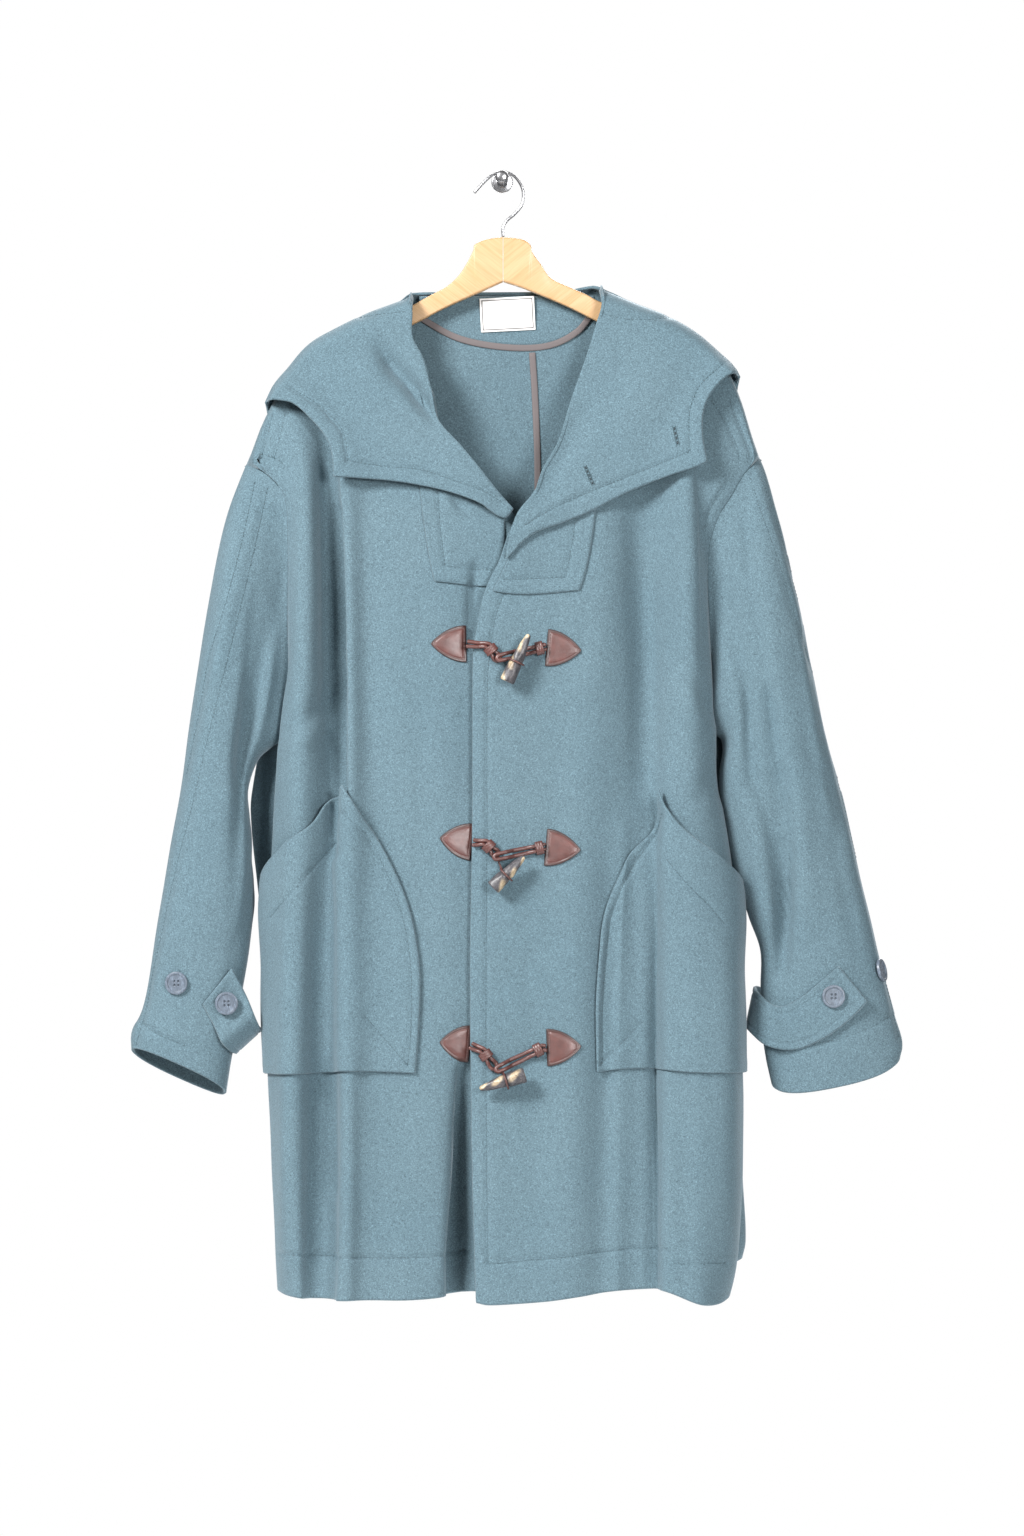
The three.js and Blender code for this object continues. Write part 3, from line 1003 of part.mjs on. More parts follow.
// The wall hook: a round plate on the wall and a prong that runs out under the wire and turns up.
const PLATE = { radius: 11, thick: 2.5, edge: 0.6 };
const plateProfile = [[0, 0], [PLATE.radius, 0], [PLATE.radius, PLATE.thick - PLATE.edge],
  [PLATE.radius - PLATE.edge, PLATE.thick], [5.6, PLATE.thick], [4.4, PLATE.thick + 2], [4.2, 36],
  [4.2, 52], [6.4, 54], [6.8, 57], [5.4, 60], [0, 61]];
const wallHook = new THREE.LatheGeometry(plateProfile.map(([a, h]) => new THREE.Vector2(a, h)), 18);
wallHook.rotateX(Math.PI);
addGeometry('wall_hook', wallHook, MATERIALS.steel);

export default coat;
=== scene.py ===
"""A wool duffle coat on a wooden hanger, dressed for rendering.

The shapes follow the same named tables as the solids, on finer grids. Points are in millimetres in
the row's frame until a mesh is made. The origin is the wall hook's plate, +Z is up, the coat faces -Y.
"""
import math

import bpy
import numpy as np
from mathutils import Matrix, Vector
from mathutils.bvhtree import BVHTree


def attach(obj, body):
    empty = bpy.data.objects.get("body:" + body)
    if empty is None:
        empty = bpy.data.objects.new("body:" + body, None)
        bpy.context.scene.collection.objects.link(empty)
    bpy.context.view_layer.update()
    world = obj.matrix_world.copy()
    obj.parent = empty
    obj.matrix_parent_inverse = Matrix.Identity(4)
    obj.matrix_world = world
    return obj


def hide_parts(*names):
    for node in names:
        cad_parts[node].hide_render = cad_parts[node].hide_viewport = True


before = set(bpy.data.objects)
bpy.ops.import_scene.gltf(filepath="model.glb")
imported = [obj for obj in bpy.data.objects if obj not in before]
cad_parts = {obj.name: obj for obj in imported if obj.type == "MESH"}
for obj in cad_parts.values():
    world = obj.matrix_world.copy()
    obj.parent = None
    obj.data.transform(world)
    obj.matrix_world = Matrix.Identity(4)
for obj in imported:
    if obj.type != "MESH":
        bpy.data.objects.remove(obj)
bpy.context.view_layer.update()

# Sizes in millimetres.
CLOTH = 3.0
PATCH_CLOTH = 2.0
SEAM_GAP = 0.4
LAY_GAP = 0.5
HANGER_Y = -45.0
LEATHER = 2.2
CORD_DIAMETER = 4.0
BUTTON_DIAMETER = 23.0
METRE = 1000
# A ray starts this far in front of the wall, in metres.
RAY_START = -0.4
# How often an interval is halved to find a place in it.
HALVINGS = 26
FORWARD = np.array([0.0, -1.0, 0.0])


# Small tools

def mix(a, b, t):
    return a + (b - a) * t


def smooth(low, high, v):
    t = np.clip((v - low) / (high - low), 0, 1)
    return t * t * (3 - 2 * t)


def bell(v, middle, width):
    return np.exp(-(((v - middle) / width) ** 2))


def unit(v):
    return v / np.maximum(np.linalg.norm(v, axis=-1, keepdims=True), 1e-9)


def hermite(a, b, slope_a, slope_b, t):
    """A cubic from a to b as t goes from 0 to 1, with these slopes at its ends."""
    t2, t3 = t * t, t * t * t
    return (a * (2 * t3 - 3 * t2 + 1) + b * (3 * t2 - 2 * t3)
            + slope_a * (t3 - 2 * t2 + t) + slope_b * (t3 - t2))


def slopes(stations, values):
    """Slopes of the values at their stations, each taken between the station's neighbours."""
    number = np.arange(len(values))
    low, high = np.maximum(number - 1, 0), np.minimum(number + 1, len(values) - 1)
    return (values[high] - values[low]) / (stations[high] - stations[low])


def track(stations, values):
    """A smooth function through the stations; past either end it keeps the end's value."""
    s = np.asarray(stations, float)
    v = np.asarray(values, float)
    if s[-1] < s[0]:
        s, v = s[::-1], v[::-1]
    slope = slopes(s, v)

    def at(x):
        x = np.asarray(x, float)
        i = np.clip(np.searchsorted(s, x) - 1, 0, len(s) - 2)
        h = s[i + 1] - s[i]
        return hermite(v[i], v[i + 1], slope[i] * h, slope[i + 1] * h, np.clip((x - s[i]) / h, 0, 1))
    return at


def track_of(pairs):
    """A track through [station, value] pairs."""
    return track(*np.array(pairs, float).T)


def halved(low, high, below):
    """The place between low and high where below turns false, by halving the interval."""
    for _ in range(HALVINGS):
        middle = (low + high) / 2
        less = below(middle)
        low, high = np.where(less, middle, low), np.where(less, high, middle)
    return (low + high) / 2


def cornered(stations, values, corners):
    """A track that may turn sharply at the stations numbered in corners."""
    cuts = [0, *corners, len(stations) - 1]
    pieces = [track(stations[a:b + 1], values[a:b + 1]) for a, b in zip(cuts, cuts[1:])]

    def at(x):
        x = np.asarray(x, float)
        found = pieces[0](x)
        for cut, piece in zip(corners, pieces[1:]):
            found = np.where(x > stations[cut], piece(x), found)
        return found
    return at


def path(points):
    """A smooth path through points of any dimension; the argument runs from 0 to 1 by length."""
    p = np.asarray(points, float)
    reach = np.concatenate([[0], np.cumsum(np.linalg.norm(np.diff(p, axis=0), axis=1))])
    reach /= reach[-1]
    parts = [track(reach, p[:, k]) for k in range(p.shape[1])]
    return lambda t: np.stack([f(t) for f in parts], -1)


def between(top, foot, inner, outer):
    """A sheet between four edge paths, as a function of u (inner to outer) and v (top to foot)."""
    c = [top(0.0), top(1.0), foot(0.0), foot(1.0)]

    def at(u, v):
        uu, vv = u[..., None], v[..., None]
        return (mix(top(u), foot(u), vv) + mix(inner(v), outer(v), uu)
                - mix(mix(c[0], c[1], uu), mix(c[2], c[3], uu), vv))
    return at


def grid_normals(grid, ring=False):
    """Outward normals of grid[row, column], whose columns run to +X on a front and rows run down."""
    if ring:
        along = np.roll(grid, -1, 1) - np.roll(grid, 1, 1)
    else:
        along = np.gradient(grid, axis=1)
    down = np.gradient(grid, axis=0)
    return unit(np.cross(down, along))


def line_distance(p, line):
    """Distance in front view from points p to the polyline of [x, z] points."""
    q = p[..., [0, 2]]
    line = np.asarray(line, float)
    best = np.full(q.shape[:-1], 1e9)
    for a, b in zip(line[:-1], line[1:]):
        ab = b - a
        t = np.clip(((q - a) @ ab) / max(ab @ ab, 1e-9), 0, 1)
        best = np.minimum(best, np.linalg.norm(q - a - t[..., None] * ab, axis=-1))
    return best


def relief_of(creases, wave=0.5, phase=0.0):
    """How far cloth stands out of its plain form. Creases are [x0, z0, x1, z1, half width, height]."""
    rows = np.asarray(creases, float).reshape(-1, 6)

    def at(x, z):
        found = wave * (np.sin(x / 31 + z / 83 + phase) * np.sin(z / 47 - x / 67 + 2 * phase)
                        + 0.6 * np.sin(x / 17 - z / 39 + 3 * phase) * np.sin(z / 23 + phase))
        for x0, z0, x1, z1, width, height in rows:
            dx, dz = x1 - x0, z1 - z0
            t = np.clip(((x - x0) * dx + (z - z0) * dz) / (dx * dx + dz * dz), 0, 1)
            d = np.hypot(x - x0 - t * dx, z - z0 - t * dz)
            fade = np.sin(np.pi * (0.08 + 0.84 * t)) ** 0.7
            found = found + height * np.exp(-(d / width) ** 2) * fade
        return found
    return at


def groove(outer, lines, depth, width):
    """Presses the cloth in along its stitch lines."""
    found = outer
    normals = grid_normals(outer)
    for line in lines:
        found = found - normals * (depth * np.exp(-(line_distance(outer, line) / width) ** 2))[..., None]
    return found


def build(name, points, faces, material, slot, stands_for=()):
    """A mesh object that rides on the coat, from points in millimetres."""
    points = np.asarray(points, float)
    corners = np.array([(f[0], f[1], f[2], f[-1]) for f in faces])
    a, b, c, d = np.moveaxis(points[corners] - points.mean(0), 1, 0)
    if np.einsum("ij,ij->", a, np.cross(b, c) + np.cross(c, d)) < 0:
        faces = [tuple(reversed(f)) for f in faces]
    mesh = bpy.data.meshes.new(name + "_fine")
    mesh.from_pydata((points / METRE).tolist(), [], [tuple(int(i) for i in f) for f in faces])
    mesh.materials.append(material)
    mesh.polygons.foreach_set("use_smooth", [True] * len(mesh.polygons))
    mesh.update()
    obj = bpy.data.objects.new(name + "_fine", mesh)
    bpy.context.scene.collection.objects.link(obj)
    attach(obj, "root")
    if stands_for:
        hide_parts(*stands_for)
    return obj


def quads(rows, columns, start=0, ring=False):
    r, c = np.meshgrid(np.arange(rows - 1), np.arange(columns if ring else columns - 1), indexing="ij")
    after = (c + 1) % columns
    base, below = start + r * columns, start + (r + 1) * columns
    return np.stack([base + c, below + c, below + after, base + after], -1).reshape(-1, 4)


def closed_rings(rows, sides):
    """Faces of a form made of rings, with a flat face over its first ring and over its last."""
    last = (rows - 1) * sides
    return [tuple(f) for f in quads(rows, sides, 0, True)] + [
        tuple(range(sides)), tuple(range(last + sides - 1, last - 1, -1))]


def capped(grid, first, last):
    """Points and faces of a form made of rings, drawn together to a point at either end."""
    rows, sides = grid.shape[:2]
    count = rows * sides
    faces = [tuple(f) for f in quads(rows, sides, 0, True)]
    faces += [(k, (k + 1) % sides, count) for k in range(sides)]
    faces += [(count - sides + (k + 1) % sides, count - sides + k, count + 1) for k in range(sides)]
    return np.vstack([grid.reshape(-1, 3), first, last]), faces


def wall(name, outer, inner, material, slot, ring=False, lip=1.1):
    """A cloth wall: the outer grid and its inner copy, joined by a rounded edge all round."""
    rows, columns = outer.shape[:2]
    count = rows * columns
    points = [outer.reshape(-1, 3), inner.reshape(-1, 3)]
    faces = [quads(rows, columns, 0, ring), quads(rows, columns, count, ring)[:, ::-1]]
    if ring:
        loops = [([(0, c) for c in range(columns)], 1), ([(rows - 1, c) for c in range(columns)], -1)]
    else:
        edge = [(0, c) for c in range(columns)]
        edge += [(r, columns - 1) for r in range(1, rows)]
        edge += [(rows - 1, c) for c in range(columns - 2, -1, -1)]
        edge += [(r, 0) for r in range(rows - 2, 0, -1)]
        loops = [(edge, 1)]
    start = 2 * count
    for loop, way in loops:
        r, c = np.array(loop).T
        inward_r = np.where(r == 0, 1, np.where(r == rows - 1, rows - 2, r))
        inward_c = c if ring else np.where(c == 0, 1, np.where(c == columns - 1, columns - 2, c))
        away = unit(outer[r, c] - outer[inward_r, inward_c])
        points.append((outer[r, c] + inner[r, c]) / 2 + away * lip)
        here = np.arange(len(loop))
        after = (here + 1) % len(loop)
        o, i, m = r * columns + c, count + r * columns + c, start + here
        strips = [np.stack([o[here], o[after], m[after], m[here]], -1),
                  np.stack([m[here], m[after], i[after], i[here]], -1)]
        faces += [s if way > 0 else s[:, ::-1] for s in strips]
        start += len(loop)
    return build(name, np.vstack(points), np.vstack(faces), material, slot, [name])


def steps(low, high, count):
    return np.linspace(low, high, count + 1)


def circle(sides):
    return 2 * np.pi * np.arange(sides) / sides


def joined(*parts):
    """Station lists end to end, without repeats."""
    return np.unique(np.concatenate([np.atleast_1d(p) for p in parts]))


# Tables

# How far the body's front stands off the wall, by height: [z, y].
FRONT_DEPTH = [
    [-100, -58], [-170, -64], [-200, -72], [-250, -86], [-300, -96], [-350, -102], [-400, -106],
    [-500, -112], [-600, -118], [-700, -124], [-800, -130], [-900, -136], [-1000, -141], [-1124, -146],
]
# Features of the front on the viewer's left: rows [z, x, dip] behind the front's depth.
LEFT_FEATURES = {
    "seam": [[-289, -258, 18], [-300, -238, 14], [-318, -221, 11], [-345, -215, 13], [-450, -214, 22],
        [-520, -215.5, 30], [-550, -216.5, 38], [-562, -217, 44], [-620, -222, 52], [-700, -226, 60],
        [-863, -228, 70], [-1043, -222, 76], [-1124, -216, 78]],
    "edge": [[-228, -232, 14], [-262, -232, 10], [-289, -226, 8], [-318, -214, 7], [-360, -210, 10],
        [-480, -210, 12], [-525, -219, 18], [-562, -223, 22], [-620, -227, 28], [-684, -231, 34],
        [-760, -235, 38], [-863, -236, 40], [-950, -232, 42], [-1043, -228, 42], [-1124, -223, 42]],
    "column": [[-201, -217, 6], [-232, -214, 4], [-268, -204, 1], [-304, -196, 0], [-480, -194, 0],
        [-560, -202, 1], [-700, -206, 3], [-863, -212, 4], [-1000, -208, 4], [-1124, -203, 4]],
    "valley": [[-173, -193, 4], [-215, -190, 5], [-262, -182, 10], [-304, -176, 16], [-389, -171, 18],
        [-510, -167, 18], [-607, -166, 15], [-700, -172, 8], [-895, -179, 7], [-1024, -182, 9],
        [-1124, -183, 10]],
    "crest": [[-158, -168, 2], [-190, -167, 0], [-250, -166, -2], [-304, -164, -4], [-389, -160, -5],
        [-510, -156, -5], [-607, -155, -5], [-700, -154, -3], [-895, -152, -4], [-1024, -158, -6],
        [-1080, -163, -6], [-1124, -165, -6]],
    "flank": [[-143, -136, 2], [-180, -136, 0], [-300, -136, 2], [-600, -128, 3], [-900, -124, 3],
        [-1124, -132, 3]],
    "neck": [[-127.5, -103, 0], [-170, -102, 0], [-300, -98, 0], [-600, -90, 0], [-900, -86, 0],
        [-1124, -92, 1]],
    "chest": [[-252, -73, 0], [-300, -66, 0], [-600, -52, 0], [-900, -48, 0], [-1006, -46, 0],
        [-1080, -50, 1],
        [-1124, -48, 4]],
    "under": [[-296, -28, 3], [-400, -27, 3], [-700, -27, 3], [-900, -28, 4], [-1006, -34, 11],
        [-1080, -37, 20], [-1124, -30, 24]],
    "hidden": [[-350, 18, 6], [-400, 38, 7], [-700, 38, 7], [-900, 38, 9], [-1124, 38, 30]],
}
# Features of the front on the viewer's right, from its lapped edge to the side seam.
RIGHT_FEATURES = {
    "lap": [[-361, 7, -7], [-369, 4, -7], [-390, -3, -8], [-410, -13, -8], [-427, -19, -8], [-452, -24, -8],
        [-475, -28, -8], [-546, -29, -8], [-650, -29, -8], [-787, -31, -8], [-913, -30, -8],
        [-1024, -28, -8],
        [-1124, -25, -8]],
    "stitch": [[-340, 28, -7], [-390, 14, -9], [-427, -2, -9], [-475, -12, -9], [-650, -13, -9],
        [-913, -13, -9],
        [-1124, -9, -9]],
    "chest": [[-264, 74, -3], [-350, 50, -5], [-475, 40, -6], [-700, 38, -6], [-900, 38, -6],
        [-1124, 40, -6]],
    "neck": [[-118.5, 107, 0], [-170, 106, -1], [-300, 96, -3], [-600, 88, -4], [-900, 78, -3],
        [-1124, 78, -3]],
    "valley": [[-134.5, 138, 1], [-180, 139, 1], [-300, 141, 4], [-450, 139, 6], [-600, 134, 7],
        [-700, 124, 7],
        [-860, 113, 9], [-1000, 112, 9], [-1124, 114, 8]],
    "ridge": [[-149, 173, 1], [-195, 174, 1], [-268, 180, -3], [-389, 183, -4], [-500, 178, -3],
        [-600, 172, -4],
        [-700, 160, -6], [-860, 152, -6], [-1000, 155, -6], [-1124, 158, -5]],
    "flat": [[-168, 202, 4], [-215, 203, 5], [-268, 201, 3], [-300, 196, 3], [-389, 196, 4], [-500, 199, 4],
        [-600, 200, 3], [-700, 205, 0], [-860, 212, 0], [-1000, 208, 1], [-1124, 200, 2]],
    "edge": [[-194, 228, 8], [-240, 229, 10], [-290, 222, 8], [-322, 214, 7], [-350, 206, 8],
        [-389, 203, 11],
        [-462, 207, 13], [-547, 212, 20], [-620, 216, 28], [-665, 222, 32], [-704, 228, 36],
        [-747, 232, 38],
        [-820, 236, 40], [-900, 239, 40], [-988, 238, 42], [-1042, 235, 42], [-1085, 230, 42],
        [-1124, 221, 42]],
    "seam": [[-283, 260, 18], [-300, 244, 15], [-322, 231, 13], [-345, 217, 13], [-384, 207.5, 16],
        [-462, 210, 25], [-520, 212, 34], [-545, 212, 44], [-620, 213, 52], [-700, 221, 60],
        [-900, 230, 72],
        [-1042, 226, 76], [-1124, 215, 78]],
}
# The back's features, rows [z, x, y]; its side seams are taken from the fronts.
BACK_FEATURES = {
    "edge_left": [[-228, -232, -34], [-289, -226, -33], [-320, -214, -30], [-400, -210, -27],
        [-520, -218, -30],
        [-620, -227, -34], [-760, -234, -34], [-900, -235, -32], [-1095, -222, -30]],
    "flat_left": [[-201, -217, -31], [-240, -212, -29], [-300, -200, -26], [-500, -195, -21],
        [-700, -205, -18],
        [-900, -210, -16], [-1095, -200, -15]],
    "blade_left": [[-158, -168, -30], [-200, -166, -28], [-300, -158, -26], [-600, -150, -19],
        [-900, -150, -13],
        [-1095, -150, -11]],
    "neck_left": [[-127.5, -103, -30], [-172, -100, -30], [-300, -88, -27], [-600, -80, -20],
        [-900, -75, -17],
        [-1095, -74, -16]],
    "mid_left": [[-161, -42, -31], [-215, -40, -30], [-300, -35, -28], [-600, -25, -19], [-900, -24, -14],
        [-1095, -24, -12]],
    "centre": [[-170, 30, -32], [-215, 33, -31], [-300, 36, -29], [-600, 34, -21], [-900, 32, -17],
        [-1095, 30, -16]],
    "mid_right": [[-155, 74, -31], [-215, 78, -30], [-300, 82, -28], [-600, 84, -19], [-900, 84, -14],
        [-1095, 84, -12]],
    "neck_right": [[-118.5, 107, -30], [-165, 106, -30], [-300, 112, -27], [-600, 118, -20],
        [-900, 120, -17],
        [-1095, 122, -16]],
    "blade_right": [[-149, 173, -30], [-190, 172, -28], [-300, 165, -26], [-600, 162, -18],
        [-900, 168, -13],
        [-1095, 172, -11]],
    "flat_right": [[-168, 202, -31], [-215, 203, -29], [-300, 198, -26], [-500, 199, -21], [-700, 206, -18],
        [-900, 214, -16], [-1092, 220, -15]],
    "edge_right": [[-194, 228, -34], [-240, 229, -33], [-290, 222, -33], [-350, 206, -29], [-462, 207, -28],
        [-547, 212, -31], [-620, 217, -34], [-760, 234, -34], [-900, 241, -32], [-1000, 243, -30],
        [-1075, 246, -28], [-1092, 243, -27]],
}
ARMHOLE_BACK = [[0, 0], [0.05, 8], [0.2, 20], [0.5, 34], [0.8, 36], [0.93, 22], [1, 0]]
# Sleeve rows: outer x, z, inner x, z, front y, back y, share of the armhole's outline, where the
# long crease crosses the front, its depth, and how far the front hangs below the back.
SLEEVE_LEFT = [
    [-259, -291, -218, -562, -88, -36, 1, 0.5, 0, 0],
    [-262, -299, -223, -566, -96, -33, 0.72, 0.5, 5, 0],
    [-268, -316, -232, -571, -106, -29, 0.36, 0.6, 9, 0],
    [-277, -346, -242, -577, -112, -26, 0.1, 0.74, 14, 0],
    [-288, -394, -251, -585, -114, -25, 0, 0.82, 16, 0],
    [-298, -447, -258, -600, -114, -25, 0, 0.84, 15, 0],
    [-306, -498, -261, -620, -113, -26, 0, 0.84, 13, 0],
    [-313, -553, -258, -645, -112, -27, 0, 0.82, 10, 0],
    [-323, -617, -254, -678, -111, -29, 0, 0.8, 6, 0],
    [-334, -680, -252, -725, -111, -32, 0, 0.8, 3, 0],
    [-345, -749, -256, -782, -111, -36, 0, 0.8, 1, 0],
    [-353, -798, -262, -830, -110, -40, 0, 0.8, 0, 0],
    [-361, -838, -268, -868, -109, -44, 0, 0.8, 0, -3],
    [-371, -860, -273, -895, -108, -47, 0, 0.8, 0, -6],
    [-372, -879, -277, -921, -107, -50, 0, 0.8, 0, -9],
]
SLEEVE_RIGHT = [
    [261, -285, 213, -552, -88, -36, 1, 0.5, 0, 0],
    [264, -294, 218, -555, -96, -33, 0.72, 0.5, 5, 0],
    [270, -311, 226, -559, -106, -29, 0.36, 0.55, 8, 0],
    [279, -345, 236, -564, -112, -26, 0.1, 0.62, 11, 0],
    [290, -390, 243, -569, -114, -25, 0, 0.66, 12, 0],
    [301, -440, 245, -583, -114, -25, 0, 0.68, 12, 0],
    [311, -490, 241, -603, -113, -26, 0, 0.68, 12, 0],
    [323, -547, 236, -632, -112, -27, 0, 0.68, 12, 0],
    [337, -610, 236, -670, -111, -29, 0, 0.64, 11, 0],
    [350, -665, 243, -708, -111, -32, 0, 0.64, 10, 0],
    [364, -722, 255, -744, -111, -36, 0, 0.7, 8, 2],
    [376, -770, 265, -777, -110, -40, 0, 0.8, 6, 5],
    [386, -812, 262, -814, -109, -44, 0, 0.85, 3, 9],
    [395, -845, 259, -850, -108, -47, 0, 0.85, 2, 13],
    [402, -870, 263, -885, -108, -49, 0, 0.85, 1, 16],
    [400, -884, 270, -911, -107, -50, 0, 0.85, 0, 17],
]
# The highest line of the hood over the shoulders, as seen from the front.
HOOD_LINE_LEFT = [[-91, -118], [-98, -122], [-138, -137], [-173, -154], [-197, -169], [-214, -189],
    [-229, -207], [-238, -226]]
HOOD_LINE_RIGHT = [[99, -111], [134, -126], [169, -140], [198, -157], [222, -178], [234, -190],
    [239, -200]]
# Each fastening, as [x, z]: the patches, the cord ends, the wraps, the toggle, its pale side.
FASTENINGS = [
    {
        "left_edge": [-36, -472], "left_tip": [-71, -472],
        "left_wrap": [-11, -478], "left_end": [-2.5, -489],
        "right_edge": [45, -476], "right_tip": [79, -479],
        "right_wrap": [37.5, -476.5], "right_end": [-5, -487],
        "thick": [5, -510], "tip": [27, -463], "cream": 0.6,
    },
    {
        "left_edge": [-30, -670], "left_tip": [-62, -666],
        "left_wrap": [-13, -674], "left_end": [-4, -683],
        "right_edge": [44, -675], "right_tip": [78, -678],
        "right_wrap": [37.5, -675.5], "right_end": [-8, -685],
        "thick": [-9, -715], "tip": [22, -684], "cream": 2.5,
    },
    {
        "left_edge": [-32, -871], "left_tip": [-62, -869],
        "left_wrap": [-16, -881], "left_end": [-6, -895],
        "right_edge": [45, -874], "right_tip": [78, -873],
        "right_wrap": [36, -876], "right_end": [-6, -896],
        "thick": [23, -900], "tip": [-22, -914], "cream": 2.1,
    },
]
# Strap rows: centre x, y, z and half width x, z; rows on the front of the cuff give no y.
STRAP_LEFT = [
    [-284, None, -815, -14, -17.5], [-273, None, -836, -15, -15.5], [-264, -110, -856, -15.5, -13.5],
    [-257, -96, -868, -14, -12], [-254, -78, -871, -13, -12], [-257, -60, -871, -14, -12],
    [-267, -46, -868, -15, -15], [-279, -36, -862, -14, -17],
]
STRAP_RIGHT = [
    [350, None, -812, 14, -17], [333, None, -828, 13, -19], [311, None, -845, 10.5, -20],
    [287, None, -856, 5, -21], [267, -106, -853, -2, -20], [253, -92, -842, -4, -19],
    [249, -70, -836, -4, -19], [254, -48, -836, -3, -19], [266, -34, -840, 0, -19],
]
# The hanger's outline in front view.
HANGER_TOP = [[-196, -191], [-173, -174], [-139, -152], [-105, -137], [-89, -128], [-69, -117], [-56, -110],
    [-44, -99], [-36, -87], [-29, -73]]
HANGER_CROWN = [[-28, -68], [-16, -62.5], [1, -60], [21, -62.5], [29, -68]]
HANGER_TOP_RIGHT = [[30, -74], [39, -87], [49, -101], [69, -111], [85, -118], [98, -125], [114, -130],
    [140, -142], [175, -160], [203, -184]]
HANGER_FOOT = [[203, -198], [175, -183], [140, -166], [95, -145], [69, -132], [44, -121], [19, -111],
    [2, -105], [-22.5, -116], [-56, -131], [-89, -148], [-139, -172], [-173, -189], [-196, -203]]
HOOK_ROUTE = [[-28, -15], [-20, -6], [-11, 2], [1, 6.2], [12, 2], [19, -7], [21.5, -16], [20, -27],
    [12, -37], [5, -43], [1, -50], [1, -59.2]]


NECK_FADE = 0.15
NECK_FEATURES = (3.5, 8.5)
BACK_NECKS = [4, 8]
SHOULDER_ROLL = 13
UNDERARM_DROP = 0.33
ARMHOLE_CAP = 0.07
ARMHOLE_GAP = 0.1
SLEEVE_SQUARE = 0.82
SLEEVE_SIDES = 72
SLEEVE_TUCK, SLEEVE_TUCK_ASIDE = 4.5, 4.0
CREASE_WIDTH = 0.09
HOOD_ROLL = 17
HOOD_LIFT = 12
FOLD_DEPTH = 9
FOLD_ASIDE = 1.5
# How deep and how wide the stitch lines press into the cloth.
FRONT_GROOVE, HOOD_GROOVE, PATCH_GROOVE, SLEEVE_GROOVE = (1.7, 2.1), (1.6, 2.2), (1.4, 2.1), (1.5, 2.2)
STAND = {"from": -83, "to": 93, "top": -119, "front": -34.6, "top_front": -32.5}
POUCH = {"ends": (-237, 238), "depth": 262, "edge_drop": 74, "inner_y": -22.5, "outer_y": -4.5,
         "bottom": 8, "under_lapels": 4.5, "mouth_y": -28}
POCKET_GAP, POCKET_FOOT, POCKET_RISE, POCKET_LOOSE = 2.3, 1.3, 4.3, 1.6
PATCH_HALF = 18
# PATCH_EDGE_SHADE is how far in from its edge the leather's painted shade reaches.
PATCH_CROWN, PATCH_CROWN_REACH, PATCH_CREASE, PATCH_CREASE_INSET, PATCH_EDGE_SHADE = 0.7, 9, 0.45, 2.6, 3.4
STRAND_HALF = 2.5
LOOP_UNDER, LOOP_OVER = 3.4, 2.6
WRAP_LENGTH, WRAP_WALL, WRAP_CLEAR = 8, 1.1, 1.3
WRAP_RISE = CORD_DIAMETER / 2 + WRAP_CLEAR + WRAP_WALL
WRAP_TURNS, WRAP_BUMP, WRAP_END = 3, 0.22, 0.5
CROSSING = 7
TOGGLE_THICK, TOGGLE_TIP, TOGGLE_SLACK = 7.4, 2.6, 0.9
TIE_DIAMETER, TIE_SHARE, TIE_CLEAR, TIE_UNDER = 2, 0.42, 0.5, 1.8
BUTTON_GAP = 0.35
BUTTON_ROUND, BUTTON_HIGH, BUTTON_SUNK, HOLE_AT, HOLE_DEPTH = 0.8, 3.4, 1.1, 2, 1.7
LABEL_CENTRE = (5.5, -137)
LABEL_TILT = 0.05
LABEL_HALF = (27.5, 17)
LABEL_THICK, LABEL_BORDER = 0.8, 2.2
TAPE_HALF, TAPE_THICK = 3, 1.2
HANGER_THICK = 12
HOOK_DIAMETER = 3.0

LAPEL_LEFT = {
    "top": HOOD_LINE_LEFT,
    "inner": [[-91, -118], [-90, -140], [-90, -162], [-79, -184], [-71, -215], [-64, -246], [-41, -273],
              [-22, -296], [-4, -319], [11, -336]],
    "outer": [[-238, -226], [-225, -226], [-208, -230], [-191, -245], [-176, -263], [-169, -280],
        [-167, -304]],
    "foot": [[11, -336], [2, -345], [-21, -331], [-50, -320], [-79, -313], [-109, -308], [-144, -305],
             [-167, -304]],
    "lift": lambda u, v: (HOOD_LIFT - 5 * smooth(0.8, 1, v) * (1 - smooth(0, 0.25, u))
                          + 7 * smooth(0.75, 1, u)),
    "away": -1,
}
LAPEL_RIGHT = {
    "top": HOOD_LINE_RIGHT,
    "inner": [[99, -111], [100, -130], [95, -148], [85, -181], [69, -227], [56, -269], [40, -298],
        [33, -318],
              [16, -340], [9, -357]],
    "outer": [[239, -200], [234, -198], [222, -204], [207, -222], [200, -242], [200, -266], [204, -289]],
    "foot": [[9, -357], [5, -386], [17, -373], [34, -360], [58, -351], [87, -339], [122, -321], [163, -304],
             [193, -294], [204, -289]],
    "lift": lambda u, v: (HOOD_LIFT + 4 * smooth(0.5, 1, v) * (1 - smooth(0, 0.6, u))
                          + 7 * smooth(0.75, 1, u)),
    "away": 1,
}

